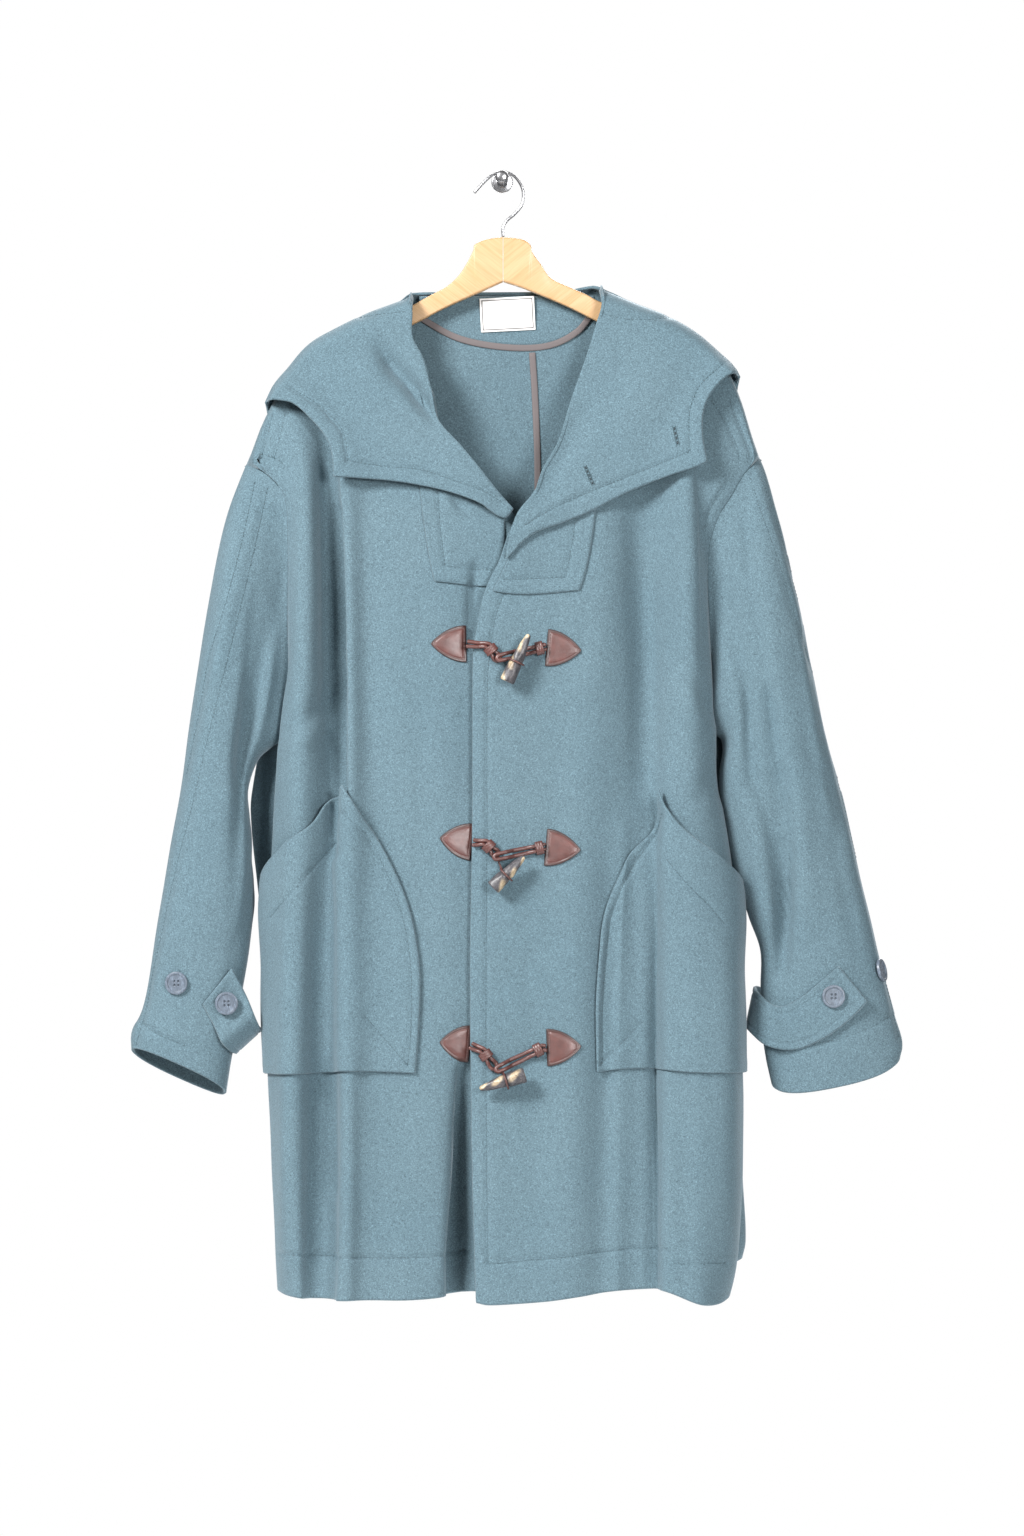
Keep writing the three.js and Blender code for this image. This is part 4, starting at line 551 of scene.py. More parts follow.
# Creases that the wearer and the hanger left: [x0, z0, x1, z1, half width, height], valleys negative.
LEFT_CREASES = [
    [-34, -900, -44, -1190, 11, -26],
    [-174, -250, -168, -680, 10, -8], [-199, -290, -204, -1080, 11, 5], [-152, -280, -155, -1150, 11, 3.5],
    [-184, -700, -186, -1180, 14, -9], [-166, -340, -163, -680, 8, -11], [-171, -640, -176, -1010, 10, -9],
    [-176, -900, -174, -1190, 13, -9], [-152, -880, -154, -1190, 8, 4], [-48, -880, -48, -1200, 36, -9],
    [-26, -394, -31, -474, 6, -8],
    [-212, -760, -214, -1160, 10, 4],
    [-232, -560, -222, -480, 10, -3],
    [-171, -262, -164, -470, 7, -3.5], [-166, -380, -160, -640, 6, -2.4], [-196, -300, -200, -620, 9, 1.6],
    [-185, -640, -184, -1080, 9, -2.2], [-205, -700, -212, -1090, 8, 1.6],
    [-120, -330, -104, -560, 14, 1.4],
    [-140, -420, -122, -700, 11, -1.3], [-60, -440, -52, -760, 15, 1.2], [-84, -520, -74, -800, 12, -1.2],
    [-52, -321, -36, -342, 4, -2.2], [-60, -318, -46, -344, 4, 1.4], [-216, -566, -150, -500, 9, -2.6],
    [-214, -580, -160, -540, 8, 1.8], [-206, -600, -170, -640, 9, -1.8], [-70, -820, -58, -1090, 13, 1.4],
    [-100, -900, -92, -1100, 12, -1.4], [-128, -905, -132, -1100, 11, 1.6], [-48, -560, -40, -900, 9, -0.9],
]
RIGHT_CREASES = [
    [151, -640, 147, -1210, 10, -27], [135, -660, 129, -1210, 10, -10], [122, -660, 112, -1210, 11, 7],
    [74, -680, 60, -1180, 24, 4],
    [146, -215, 146, -640, 20, -7], [143, -360, 145, -660, 12, -10], [218, -640, 224, -1190, 15, 9],
    [186, -260, 190, -640, 13, 5], [192, -640, 196, -1180, 14, 4], [104, -300, 96, -620, 20, 2],
    [134, -250, 130, -470, 12, -2.6], [182, -300, 186, -560, 11, 2.2], [205, -300, 207, -520, 8, -2.2],
    [150, -420, 142, -640, 12, -1.4], [84, -430, 74, -760, 15, 1.2], [56, -480, 52, -820, 12, -1.0],
    [112, -700, 112, -1080, 11, -2.2], [160, -900, 158, -1110, 9, 2.4], [184, -905, 182, -1110, 9, -1.6],
    [70, -900, 66, -1100, 13, 1.3], [30, -780, 34, -1080, 12, -0.9], [212, -544, 168, -470, 9, -2.6],
    [214, -560, 176, -540, 9, 2.0], [212, -590, 186, -650, 8, -1.6], [10, -520, 12, -860, 9, 0.8],
    [-8, -900, -6, -1110, 8, 0.9], [96, -420, 70, -500, 9, -1.0],
]
BACK_CREASES = [
    [-20, -220, -34, -560, 16, 2.5], [64, -200, 70, -520, 15, -2.5], [110, -190, 150, -420, 16, 2.2],
    [-120, -200, -150, -450, 14, -2.4], [-60, -430, -80, -1000, 20, 3.0], [20, -480, 26, -1060, 18, -2.6],
    [95, -520, 104, -1080, 19, 2.8], [-150, -560, -170, -1080, 16, -2.4], [170, -480, 184, -1060, 17, -2.6],
    [-210, -600, -196, -1000, 12, 2.2], [-204, -480, -110, -380, 12, -2.2], [204, -470, 128, -370, 12, 2.2],
]
LEFT_SLEEVE_CREASES = [
    [-250, -380, -290, -560, 9, -2.2], [-272, -360, -312, -600, 8, 2.0], [-200, -420, -222, -600, 8, -2.5],
    [-238, -640, -300, -700, 12, -2.4], [-252, -700, -312, -752, 12, 2.0],
    [-268, -560, -330, -640, 12, 1.5],
    [-290, -720, -340, -790, 12, -1.6], [-226, -480, -256, -530, 9, 1.8], [-318, -700, -350, -820, 9, 1.2],
]
RIGHT_SLEEVE_CREASES = [
    [240, -330, 262, -520, 8, -2.2], [262, -350, 300, -560, 9, 1.8], [290, -440, 330, -640, 10, -1.6],
    [232, -420, 268, -660, 7, 2.2], [300, -600, 350, -760, 10, 1.4], [270, -660, 296, -800, 9, -2.2],
    [330, -680, 372, -800, 11, -1.6], [236, -560, 270, -620, 9, -2.0], [320, -560, 284, -700, 12, 1.6],
]
LEFT_SLEEVE_FOLDS = [
    [-268, -380, -292, -560, 9, 4], [-244, -420, -262, -600, 8, -5], [-240, -640, -252, -760, 8, -4],
]
RIGHT_SLEEVE_FOLDS = [
    [240, -310, 250, -430, 7, -6], [250, -430, 266, -530, 7, -9], [266, -520, 277, -610, 7, -13],
    [277, -600, 284, -680, 7, -13], [284, -670, 279, -800, 7, -12], [296, -600, 306, -760, 12, 4],
    [256, -600, 262, -740, 10, 4],
]

# How far out the sleeve's inner edge and the back's edge swell under the arms, as [z, x].
FULLER_LEFT = [[-330, 0], [-500, 0], [-580, 6], [-680, 4], [-800, 0], [-900, 0]]
FULLER_RIGHT = [
    [-330, 0], [-500, -4], [-560, -20], [-600, -22], [-655, -12], [-718, -8], [-762, -7], [-810, -3],
    [-850, 0], [-900, 0],
]
BULGE_LEFT = [[-180, 0], [-480, 0], [-560, -20], [-640, -26], [-710, -16], [-800, -2], [-900, 0],
[-1095, 0]]
BULGE_RIGHT = [[-180, 0], [-500, 0], [-560, 14], [-600, 16], [-680, 10], [-760, 0], [-900, 0], [-1095, 0]]
LAPEL_LEFT_CREASES = [
    [-134, -150, -106, -202, 8, -12], [-110, -192, -66, -246, 8, -12], [-150, -176, -120, -216, 10, 3],
    [-96, -170, -76, -214, 9, 3],
    [-118, -160, -68, -246, 9, -3.6], [-136, -160, -92, -230, 11, 2.0], [-190, -190, -120, -214, 16, 1.6],
    [-170, -230, -110, -270, 14, -1.4], [-60, -280, -10, -326, 8, 1.3], [-104, -138, -98, -158, 5, -2.4],
]
LAPEL_RIGHT_CREASES = [
    [92, -226, 42, -320, 12, -3.4], [70, -320, 18, -360, 8, 1.8], [176, -170, 120, -260, 18, 1.8],
    [210, -200, 150, -270, 12, -1.6], [128, -160, 110, -220, 12, -1.4],
]
POUCH_CREASES = [
    [-60, -130, -30, -360, 18, 2.4], [50, -140, 30, -370, 16, -2.2], [150, -190, 110, -380, 16, 2.2],
    [-160, -200, -120, -390, 15, -2.2], [0, -200, -10, -380, 20, 1.6],
]

# Stitch lines, as [x, z] in front view.
LEFT_HEM_STITCH = [
    [[-221, -1080], [-170, -1082], [-110, -1083], [-50, -1081], [-36, -1078]],
    [[-231, -240], [-237, -268], [-243, -286]], [[-218, -240], [-224, -268], [-229, -286]],
    [[-244, -281], [-230, -284], [-219, -291]],
]
RIGHT_HEM_STITCH = [
    [[-14, -1088], [46, -1083], [101, -1077], [133, -1074], [166, -1075]], [[170, -1088], [224, -1089]],
    [[210, -225], [226, -252], [239, -279]], [[229, -226], [240, -254], [251, -281]],
    [[225, -312], [209, -336], [203, -355]],
]
FRONT_EDGE_STITCH = [
    [18, -392], [9, -404], [1, -424], [-6, -443], [-11, -470], [-14, -500], [-15, -546], [-15, -650],
    [-16, -787], [-16, -900], [-15, -1000], [-14, -1088],
]
LEFT_SLEEVE_STITCH = [
    [[-248, -308], [-261, -372], [-278, -438], [-293, -486], [-302, -535], [-317, -607]],
    [[-235, -314], [-247, -372], [-259, -425], [-271, -474], [-285, -530], [-298, -583], [-314, -650],
     [-325, -691], [-339, -753], [-351, -806], [-356, -836], [-367, -874]],
    [[-368, -846], [-344, -862], [-316, -874]],
]
RIGHT_SLEEVE_STITCH = [
    [[249, -304], [260, -341], [275, -384], [289, -433], [304, -476], [314, -505], [330, -574], [350, -660],
     [371, -748], [386, -812], [398, -866]],
    [[259, -302], [270, -333], [282, -370], [299, -430], [318, -500]],
    [[391, -844], [367, -856], [333, -868], [300, -872]],
]
HOOD_LEFT_STITCH = [
    [[-214, -213], [-179, -236], [-159, -260], [-154, -289]],
    [[-154, -289], [-120, -294], [-79, -298], [-50, -308], [-21, -318], [0, -330]],
    [[-144, -142], [-120, -139], [-97, -137]],
]
# The two buttonholes of the hood, as [x, z] ends.
BUTTONHOLES = [[[172, -254], [176, -273]], [[83, -294], [91, -313]]]
HOOD_RIGHT_STITCH = [
    [[222, -190], [198, -213], [188, -239], [187, -280]],
    [[187, -280], [152, -294], [93, -318], [52, -336], [22, -354]],
    [[102, -140], [122, -144], [146, -145], [169, -142]],
]
POCKET_LEFT_STITCH = [
    [[-166, -670], [-199, -708], [-232, -745]], [[-137, -842], [-93, -893]],
    [[-160, -640], [-134, -664], [-116, -698], [-104, -727], [-95, -762], [-90, -806], [-91, -864],
    [-94, -892]],
]
POCKET_RIGHT_STITCH = [
    [[163, -686], [181, -708], [205, -732], [222, -752]], [[98, -891], [140, -849]],
    [[160, -640], [153, -662], [133, -690], [119, -716], [108, -748], [103, -792], [100, -836],
    [100, -891]],
]
CHEST_LEFT_STITCH = [[[-65, -312], [-62, -354], [-57, -394]], [[-57, -394], [-28, -397], [-9, -398]]]
CHEST_RIGHT_STITCH = [[[74, -342], [70, -371], [64, -405]], [[64, -405], [7, -408], [-4, -407]]]

# Each light's name, place, size in metres and power.
LIGHTS = [
    ("key", (-2.3, -2.6, 1.4), 1.1, 285), ("fill", (1.9, -4.7, 0.1), 1.2, 200),
    ("behind", (0.4, 2.6, 0.6), 2.0, 120),
]
MIDDLE = (0.01, -0.1, -0.6)
WORLD_LIGHT = 0.38
CAMERA_AIM = (0.010, -0.105, -0.596)
CAMERA_DISTANCE = 6.0
FRAME_HEIGHT = 1.536
SENSOR = 36
FLOOR_Z, FLOOR_HALF = -1.6, 1.2


# Materials

def shader(name):
    """A new material with its tree, its shader and its object coordinates."""
    material = bpy.data.materials.new(name)
    material.use_nodes = True
    tree = material.node_tree
    coords = tree.nodes.new("ShaderNodeTexCoord").outputs["Object"]
    return material, tree, tree.nodes["Principled BSDF"], coords


def fill(tree, node, inputs):
    """Each input is linked to a socket or takes a plain value; a colour has no alpha here."""
    for key, value in inputs.items():
        socket = node.inputs[key]
        if isinstance(value, bpy.types.NodeSocket):
            tree.links.new(value, socket)
        elif socket.type == "RGBA":
            socket.default_value = (*value, 1)
        else:
            socket.default_value = value
    return node


def stretched(tree, source, scale, turn=(0, 0, 0)):
    mapping = tree.nodes.new("ShaderNodeMapping")
    return fill(tree, mapping, {"Vector": source, "Scale": scale, "Rotation": turn}).outputs["Vector"]


def noise(tree, source, scale, detail=3.0, rough=0.6, warp=0.0):
    node = fill(tree, tree.nodes.new("ShaderNodeTexNoise"), {
        "Vector": source, "Scale": scale, "Detail": detail, "Roughness": rough, "Distortion": warp})
    return node.outputs["Fac"]


def ramp(tree, source, stops):
    """Colours at positions: stops are (position, (r, g, b))."""
    node = tree.nodes.new("ShaderNodeValToRGB")
    elements = node.color_ramp.elements
    while len(elements) < len(stops):
        elements.new(0.5)
    for element, (position, colour) in zip(elements, stops):
        element.position = position
        element.color = (*colour, 1)
    tree.links.new(source, node.inputs["Fac"])
    return node.outputs["Color"]


def blended(tree, kind, share, a, b):
    """Two colours mixed; share, a and b are sockets or plain values."""
    node = tree.nodes.new("ShaderNodeMix")
    node.data_type = "RGBA"
    node.blend_type = kind
    return fill(tree, node, {0: share, 6: a, 7: b}).outputs[2]


def maths(tree, kind, a, b):
    node = tree.nodes.new("ShaderNodeMath")
    node.operation = kind
    return fill(tree, node, {0: a, 1: b}).outputs[0]


def bump(tree, principled, height, strength, distance):
    node = fill(tree, tree.nodes.new("ShaderNodeBump"), {
        "Strength": strength, "Distance": distance, "Height": height})
    tree.links.new(node.outputs["Normal"], principled.inputs["Normal"])


def layer(tree, name):
    node = tree.nodes.new("ShaderNodeAttribute")
    node.attribute_name = name
    return node.outputs["Fac"]


def scaled(colour, by):
    return tuple(c * by for c in colour)


def wool_material(name, colour):
    """Milled wool: short fibres in two directions, lighter and darker hairs, a soft nap."""
    material, tree, principled, coords = shader(name)
    upright = noise(tree, stretched(tree, coords, (1, 1, 0.4)), 1500, 3.0, 0.65, 0.4)
    level = noise(tree, stretched(tree, coords, (0.4, 0.6, 1)), 1400, 3.0, 0.65, 0.4)
    hairs = maths(tree, "MULTIPLY", maths(tree, "ADD", upright, level), 0.5)
    felt = noise(tree, coords, 260, 4.0, 0.6, 0.8)
    cloud = noise(tree, coords, 9, 3.0, 0.5)
    tone = ramp(tree, hairs, [(0.38, scaled(colour, 0.5)), (0.47, scaled(colour, 0.88)),
                              (0.54, scaled(colour, 1.1)), (0.64, scaled(colour, 1.65))])
    shade = ramp(tree, felt, [(0.3, (0.93, 0.93, 0.94)), (0.7, (1.0, 1.0, 1.0))])
    broad = ramp(tree, cloud, [(0.35, (0.93, 0.95, 0.96)), (0.65, (1.0, 1.0, 1.0))])
    base = blended(tree, "MULTIPLY", 1.0, blended(tree, "MULTIPLY", 1.0, tone, shade), broad)
    fill(tree, principled, {
        "Base Color": base, "Roughness": 0.92, "Specular IOR Level": 0.18,
        "Sheen Weight": 0.28, "Sheen Roughness": 0.45, "Sheen Tint": (0.80, 0.92, 1.0)})
    bump(tree, principled, maths(tree, "ADD", hairs, maths(tree, "MULTIPLY", felt, 0.8)), 0.55, 0.0006)
    return material


def leather_material(name, colour):
    material, tree, principled, coords = shader(name)
    cell = tree.nodes.new("ShaderNodeTexVoronoi")
    cell.feature = "DISTANCE_TO_EDGE"
    fill(tree, cell, {"Vector": coords, "Scale": 900})
    cloud = noise(tree, coords, 90, 4.0, 0.6)
    tone = ramp(tree, cloud, [(0.32, scaled(colour, 0.78)), (0.52, colour), (0.72, scaled(colour, 1.35))])
    roughness = maths(tree, "ADD", maths(tree, "MULTIPLY", noise(tree, coords, 300, 2.0), 0.22), 0.32)
    fill(tree, principled, {
        # The "edge" layer mixes in a much darker leather towards a patch's edges: painted shade.
        "Base Color": blended(tree, "MIX", layer(tree, "edge"), tone, scaled(colour, 0.42)),
        "Roughness": roughness, "Specular IOR Level": 0.6, "Coat Weight": 0.2, "Coat Roughness": 0.3})
    height = maths(tree, "ADD", cell.outputs["Distance"], maths(tree, "MULTIPLY", cloud, 0.6))
    bump(tree, principled, height, 0.35, 0.0004)
    return material


def horn_material(name):
    material, tree, principled, coords = shader(name)
    streaks = noise(tree, coords, 240, 5.0, 0.7, 1.6)
    dark = ramp(tree, streaks, [(0.35, (0.028, 0.027, 0.032)), (0.55, (0.07, 0.066, 0.072)),
                                (0.72, (0.16, 0.14, 0.13))])
    cream = ramp(tree, streaks, [(0.3, (0.13, 0.10, 0.07)), (0.5, (0.40, 0.31, 0.2)),
                                 (0.7, (0.6, 0.52, 0.38))])
    fill(tree, principled, {
        "Base Color": blended(tree, "MIX", layer(tree, "edge"), dark, cream),
        "Roughness": 0.42, "Specular IOR Level": 0.35, "Coat Weight": 0.08, "Coat Roughness": 0.2})
    bump(tree, principled, streaks, 0.3, 0.0005)
    return material


def plastic_material(name, colour):
    material, tree, principled, coords = shader(name)
    cloud = noise(tree, stretched(tree, coords, (1, 1, 0.4)), 420, 3.0, 0.6, 1.2)
    tone = ramp(tree, cloud, [(0.35, scaled(colour, 0.7)), (0.55, colour), (0.7, scaled(colour, 1.5))])
    fill(tree, principled, {"Base Color": tone, "Roughness": 0.36, "Specular IOR Level": 0.5})
    bump(tree, principled, cloud, 0.12, 0.0003)
    return material


def pine_material(name, turn):
    """Grain runs along the arm; turn is the arm's slope."""
    material, tree, principled, coords = shader(name)
    along = stretched(tree, coords, (1, 1, 1), (0, turn, 0))
    rings = noise(tree, stretched(tree, along, (0.05, 1, 1)), 170, 2.5, 0.5, 0.3)
    pores = noise(tree, stretched(tree, along, (0.03, 1, 1)), 900, 2.0, 0.6)
    tone = ramp(tree, rings, [(0.36, (0.51, 0.33, 0.175)), (0.5, (0.50, 0.315, 0.16)),
                              (0.6, (0.47, 0.28, 0.13)), (0.66, (0.50, 0.32, 0.165))])
    fine = ramp(tree, pores, [(0.4, (0.90, 0.87, 0.82)), (0.6, (1, 1, 1))])
    fill(tree, principled, {"Base Color": blended(tree, "MULTIPLY", 1.0, tone, fine), "Roughness": 0.42,
                            "Coat Weight": 0.2, "Coat Roughness": 0.25})
    bump(tree, principled, pores, 0.12, 0.0003)
    return material


def steel_material(name):
    material, tree, principled, coords = shader(name)
    scratches = noise(tree, stretched(tree, coords, (1, 0.15, 1)), 1200, 3.0)
    tone = ramp(tree, scratches, [(0.3, (0.24, 0.24, 0.25)), (0.7, (0.42, 0.42, 0.43))])
    roughness = maths(tree, "ADD", maths(tree, "MULTIPLY", scratches, 0.2), 0.18)
    fill(tree, principled, {"Base Color": tone, "Metallic": 1.0, "Roughness": roughness})
    bump(tree, principled, scratches, 0.08, 0.0002)
    return material


def woven_material(name, colour, scale, rough, border=None):
    """Plain woven tape: threads over and under in two directions."""
    material, tree, principled, coords = shader(name)
    waves = []
    for axis in ("X", "Z"):
        wave = tree.nodes.new("ShaderNodeTexWave")
        wave.bands_direction = axis
        waves.append(fill(tree, wave, {"Vector": coords, "Scale": scale, "Distortion": 0.6}).outputs["Fac"])
    weave = maths(tree, "MULTIPLY", waves[0], waves[1])
    tone = ramp(tree, weave, [(0.0, scaled(colour, 0.82)), (0.5, colour), (1.0, scaled(colour, 1.08))])
    if border is not None:
        tone = blended(tree, "MIX", layer(tree, "edge"), tone, border)
    fill(tree, principled, {"Base Color": tone, "Roughness": rough, "Sheen Weight": 0.15})
    bump(tree, principled, weave, 0.25, 0.0002)
    return material


def floor_material(name):
    material, tree, principled, _ = shader(name)
    fill(tree, principled, {"Base Color": (0.9, 0.9, 0.9), "Roughness": 0.8})
    return material


wool = wool_material("wool", (0.102, 0.158, 0.186))
thread = plastic_material("thread", (0.05, 0.088, 0.105))
# Near-black strands laid along the buttonhole slits: painted shade in their openings.
painted_slit_shade = plastic_material("painted_slit_shade", (0.012, 0.018, 0.024))
brown_thread = plastic_material("brown_thread", (0.11, 0.05, 0.045))
leather = leather_material("leather", (0.082, 0.027, 0.022))
horn = horn_material("horn")
button_plastic = plastic_material("button", (0.105, 0.13, 0.165))
pine_left = pine_material("pine_left", math.radians(-38))
pine_right = pine_material("pine_right", math.radians(38))
steel = steel_material("steel")
tape = woven_material("tape", (0.125, 0.105, 0.105), 380, 0.7)
label = woven_material("label", (0.86, 0.85, 0.83), 700, 0.6, border=(0.10, 0.09, 0.09))
pale = floor_material("pale")


# Body fronts and back

class Panel:
    """A sheet through named features that run down the garment; rows of a feature are [z, x, y]."""

    def __init__(self, features, depth, relief):
        rows = [np.array(r, float) for r in features.values()]
        self.x = [track(r[:, 0], r[:, 1]) for r in rows]
        self.y = [track(r[:, 0], r[:, 2]) for r in rows]
        self.depth = depth
        self.relief = relief
        self.count = len(rows) - 1

    def across(self, tracks, t, z):
        """The value of a family of features at feature number t, which may lie between two."""
        v = np.stack([f(z) for f in tracks])
        slope = slopes(np.arange(len(v)).reshape(-1, *[1] * (v.ndim - 1)), v)
        i = np.clip(np.ceil(t).astype(int) - 1, 0, self.count - 1)
        take = lambda table, k: np.take_along_axis(table, k[None], 0)[0]
        return hermite(take(v, i), take(v, i + 1), take(slope, i), take(slope, i + 1), np.clip(t - i, 0, 1))

    def plain(self, t, z):
        t, z = np.broadcast_arrays(np.asarray(t, float), np.asarray(z, float))
        return np.stack([self.across(self.x, t, z), self.depth(z) + self.across(self.y, t, z), z], -1)

    def find(self, x, z, start=1.0):
        """The feature number at x, from feature start on, where x only grows."""
        x, z = np.broadcast_arrays(np.asarray(x, float), np.asarray(z, float))
        return halved(np.full(x.shape, float(start)), np.full(x.shape, self.count + 0.5),
                      lambda t: self.plain(t, z)[..., 0] < x)


class BodyPanel(Panel):
    """A panel whose top edge runs from feature to feature and rolls over at the shoulder."""

    def __init__(self, features, depth, relief, out, hem, shoulder_from, shoulder_to, seam_y, necks):
        super().__init__(features, depth, relief)
        index = np.arange(self.count + 1)
        tops = [rows[0][0] for rows in features.values()]
        self.out, self.seam_y = out, seam_y
        self.top = cornered(index, tops, necks)
        self.hem = track(index, hem)
        self.ends = (shoulder_from, shoulder_to)

    def shoulder(self, t):
        low, high = self.ends
        return smooth(low - NECK_FADE, low, t) * (1 - smooth(high, high + NECK_FADE, t))

    def base(self, t, z):
        p = self.plain(t, z)
        fall = np.clip((self.top(t) - p[..., 2]) / SHOULDER_ROLL, 0, 1)
        rolled = np.sqrt(1 - (1 - fall) ** 2)
        y = mix(self.seam_y, p[..., 1], rolled)
        p[..., 1] = mix(p[..., 1], y, self.shoulder(t))
        return p

    def normal(self, t, z):
        t, z = np.broadcast_arrays(np.asarray(t, float), np.asarray(z, float))
        z = np.clip(z, self.hem(t) + 1, self.top(t) - 1)
        along = self.base(t + 0.02, z) - self.base(t - 0.02, z)
        down = self.base(t, z - 1) - self.base(t, z + 1)
        return unit(np.cross(down, along)) * self.out

    def lifted(self, t, z, lift=0.0):
        p = self.base(t, z)
        calm = smooth(0, 30, self.top(t) - p[..., 2])
        by = self.relief(p[..., 0], p[..., 2]) * calm + lift
        return p + self.normal(t, z) * by[..., None]

    def inner(self, t, z):
        """One cloth behind the outer face, and square below it at the shoulder seam."""
        near = self.shoulder(t) * (1 - smooth(0, SHOULDER_ROLL, self.top(t) - z))
        a = self.base(t - 0.05, self.top(t - 0.05))
        b = self.base(t + 0.05, self.top(t + 0.05))
        below = unit(np.stack([b[..., 2] - a[..., 2], 0 * near, a[..., 0] - b[..., 0]], -1))
        way = unit(-self.normal(t, z) * (1 - near)[..., None] + below * near[..., None])
        return self.lifted(t, z) + way * CLOTH

    def height(self, t, drop):
        return mix(self.top(t), self.hem(t), drop)

    def grids(self, columns, drops):
        t, drop = np.meshgrid(columns, drops)
        z = self.height(t, drop)
        return self.lifted(t, z), self.inner(t, z)

    def at_xz(self, x, z, start=1.0, lift=0.0):
        t = self.find(x, z, start)
        return self.lifted(t, np.broadcast_to(np.asarray(z, float), t.shape), lift)


front_depth = track_of(FRONT_DEPTH)
armhole_back = track_of(ARMHOLE_BACK)

left_front = BodyPanel(
    LEFT_FEATURES, front_depth, relief_of(LEFT_CREASES, 0.5, 0.4), out=1,
    hem=[-1117, -1118, -1122, -1123, -1124, -1124, -1124, -1121, -1118, -1117],
    shoulder_from=0, shoulder_to=6, seam_y=HANGER_Y - SEAM_GAP / 2, necks=[6])
right_front = BodyPanel(
    RIGHT_FEATURES, front_depth, relief_of(RIGHT_CREASES, 0.5, 1.9), out=1,
    hem=[-1126, -1128, -1125, -1120, -1115, -1114, -1129, -1124, -1100],
    shoulder_from=3, shoulder_to=8.5, seam_y=HANGER_Y - SEAM_GAP / 2, necks=[3])


def back_seam(front, column):
    """The back's side seam lies one gap behind the front's, and is open at the armhole."""
    drops = joined(steps(0, UNDERARM_DROP, 16), steps(UNDERARM_DROP, 1, 24))
    columns = np.full(len(drops), float(column))
    z = front.height(columns, drops)
    p = front.base(columns, z)
    opened = armhole_back(np.clip(drops / UNDERARM_DROP, 0, 1))
    return np.stack([z, p[:, 0], p[:, 1] + SEAM_GAP * 1.5 + opened], -1)


class BackPanel(BodyPanel):
    """Between the two neck points the back is a plain neck edge, with no shoulder roll."""

    def shoulder(self, t):
        first, last = BACK_NECKS
        return super().shoulder(t) * (
            1 - smooth(first, first + NECK_FADE, t) * (1 - smooth(last - NECK_FADE, last, t)))


def bulged(rows, ways):
    """The back's edge swells out under the arms, where the cloth of the sleeve hangs beside it."""
    rows = np.array(rows, float)
    added = [p[0] for p in ways if rows[-1, 0] < p[0] < rows[0, 0]]
    z = joined(rows[:, 0], added)[::-1]
    x, y = (track(rows[:, 0], rows[:, k])(z) for k in (1, 2))
    return np.stack([z, x + track_of(ways)(z), y], -1)


back = BackPanel(
    {"seam_left": back_seam(left_front, 0), **BACK_FEATURES,
     "edge_left": bulged(BACK_FEATURES["edge_left"], BULGE_LEFT),
     "edge_right": bulged(BACK_FEATURES["edge_right"], BULGE_RIGHT),
     "seam_right": back_seam(right_front, right_front.count)},
    lambda z: 0 * z, relief_of(BACK_CREASES, 0.7, 3.1), out=-1,
    hem=[-1117, -1110, -1099, -1096, -1098, -1098, -1096, -1097, -1098, -1096, -1094, -1092, -1100],
    shoulder_from=0, shoulder_to=12.5, seam_y=HANGER_Y + SEAM_GAP / 2, necks=BACK_NECKS)

BODY_DROPS = joined(steps(0, 0.02, 10), steps(0.02, UNDERARM_DROP, 80), steps(UNDERARM_DROP, 0.95, 150),
                    steps(0.95, 1, 22))
LEFT_COLUMNS = joined(steps(0, 3, 16), steps(3, 5, 18), steps(5, 9, 34), [6 + NECK_FADE])
RIGHT_COLUMNS = joined(steps(0, 1.2, 14), steps(1.2, 3, 22), steps(3, 8, 50), [3 - NECK_FADE])
BACK_COLUMNS = joined(steps(0, 4, 30), [4 + NECK_FADE, 8 - NECK_FADE], steps(4, 8, 34), steps(8, 12, 30))

fronts = {}
for name, panel, columns, stitches in (
        ("front_left", left_front, LEFT_COLUMNS, LEFT_HEM_STITCH),
        ("front_right", right_front, RIGHT_COLUMNS, RIGHT_HEM_STITCH + [FRONT_EDGE_STITCH])):
    outer, inner = panel.grids(columns, BODY_DROPS)
    fronts[name] = wall(name, groove(outer, stitches, *FRONT_GROOVE), inner, wool, "wool")
wall("back", *back.grids(BACK_COLUMNS, BODY_DROPS[::2]), wool, "wool")


# Sleeves

def power(v, e):
    return np.sign(v) * np.abs(v) ** e


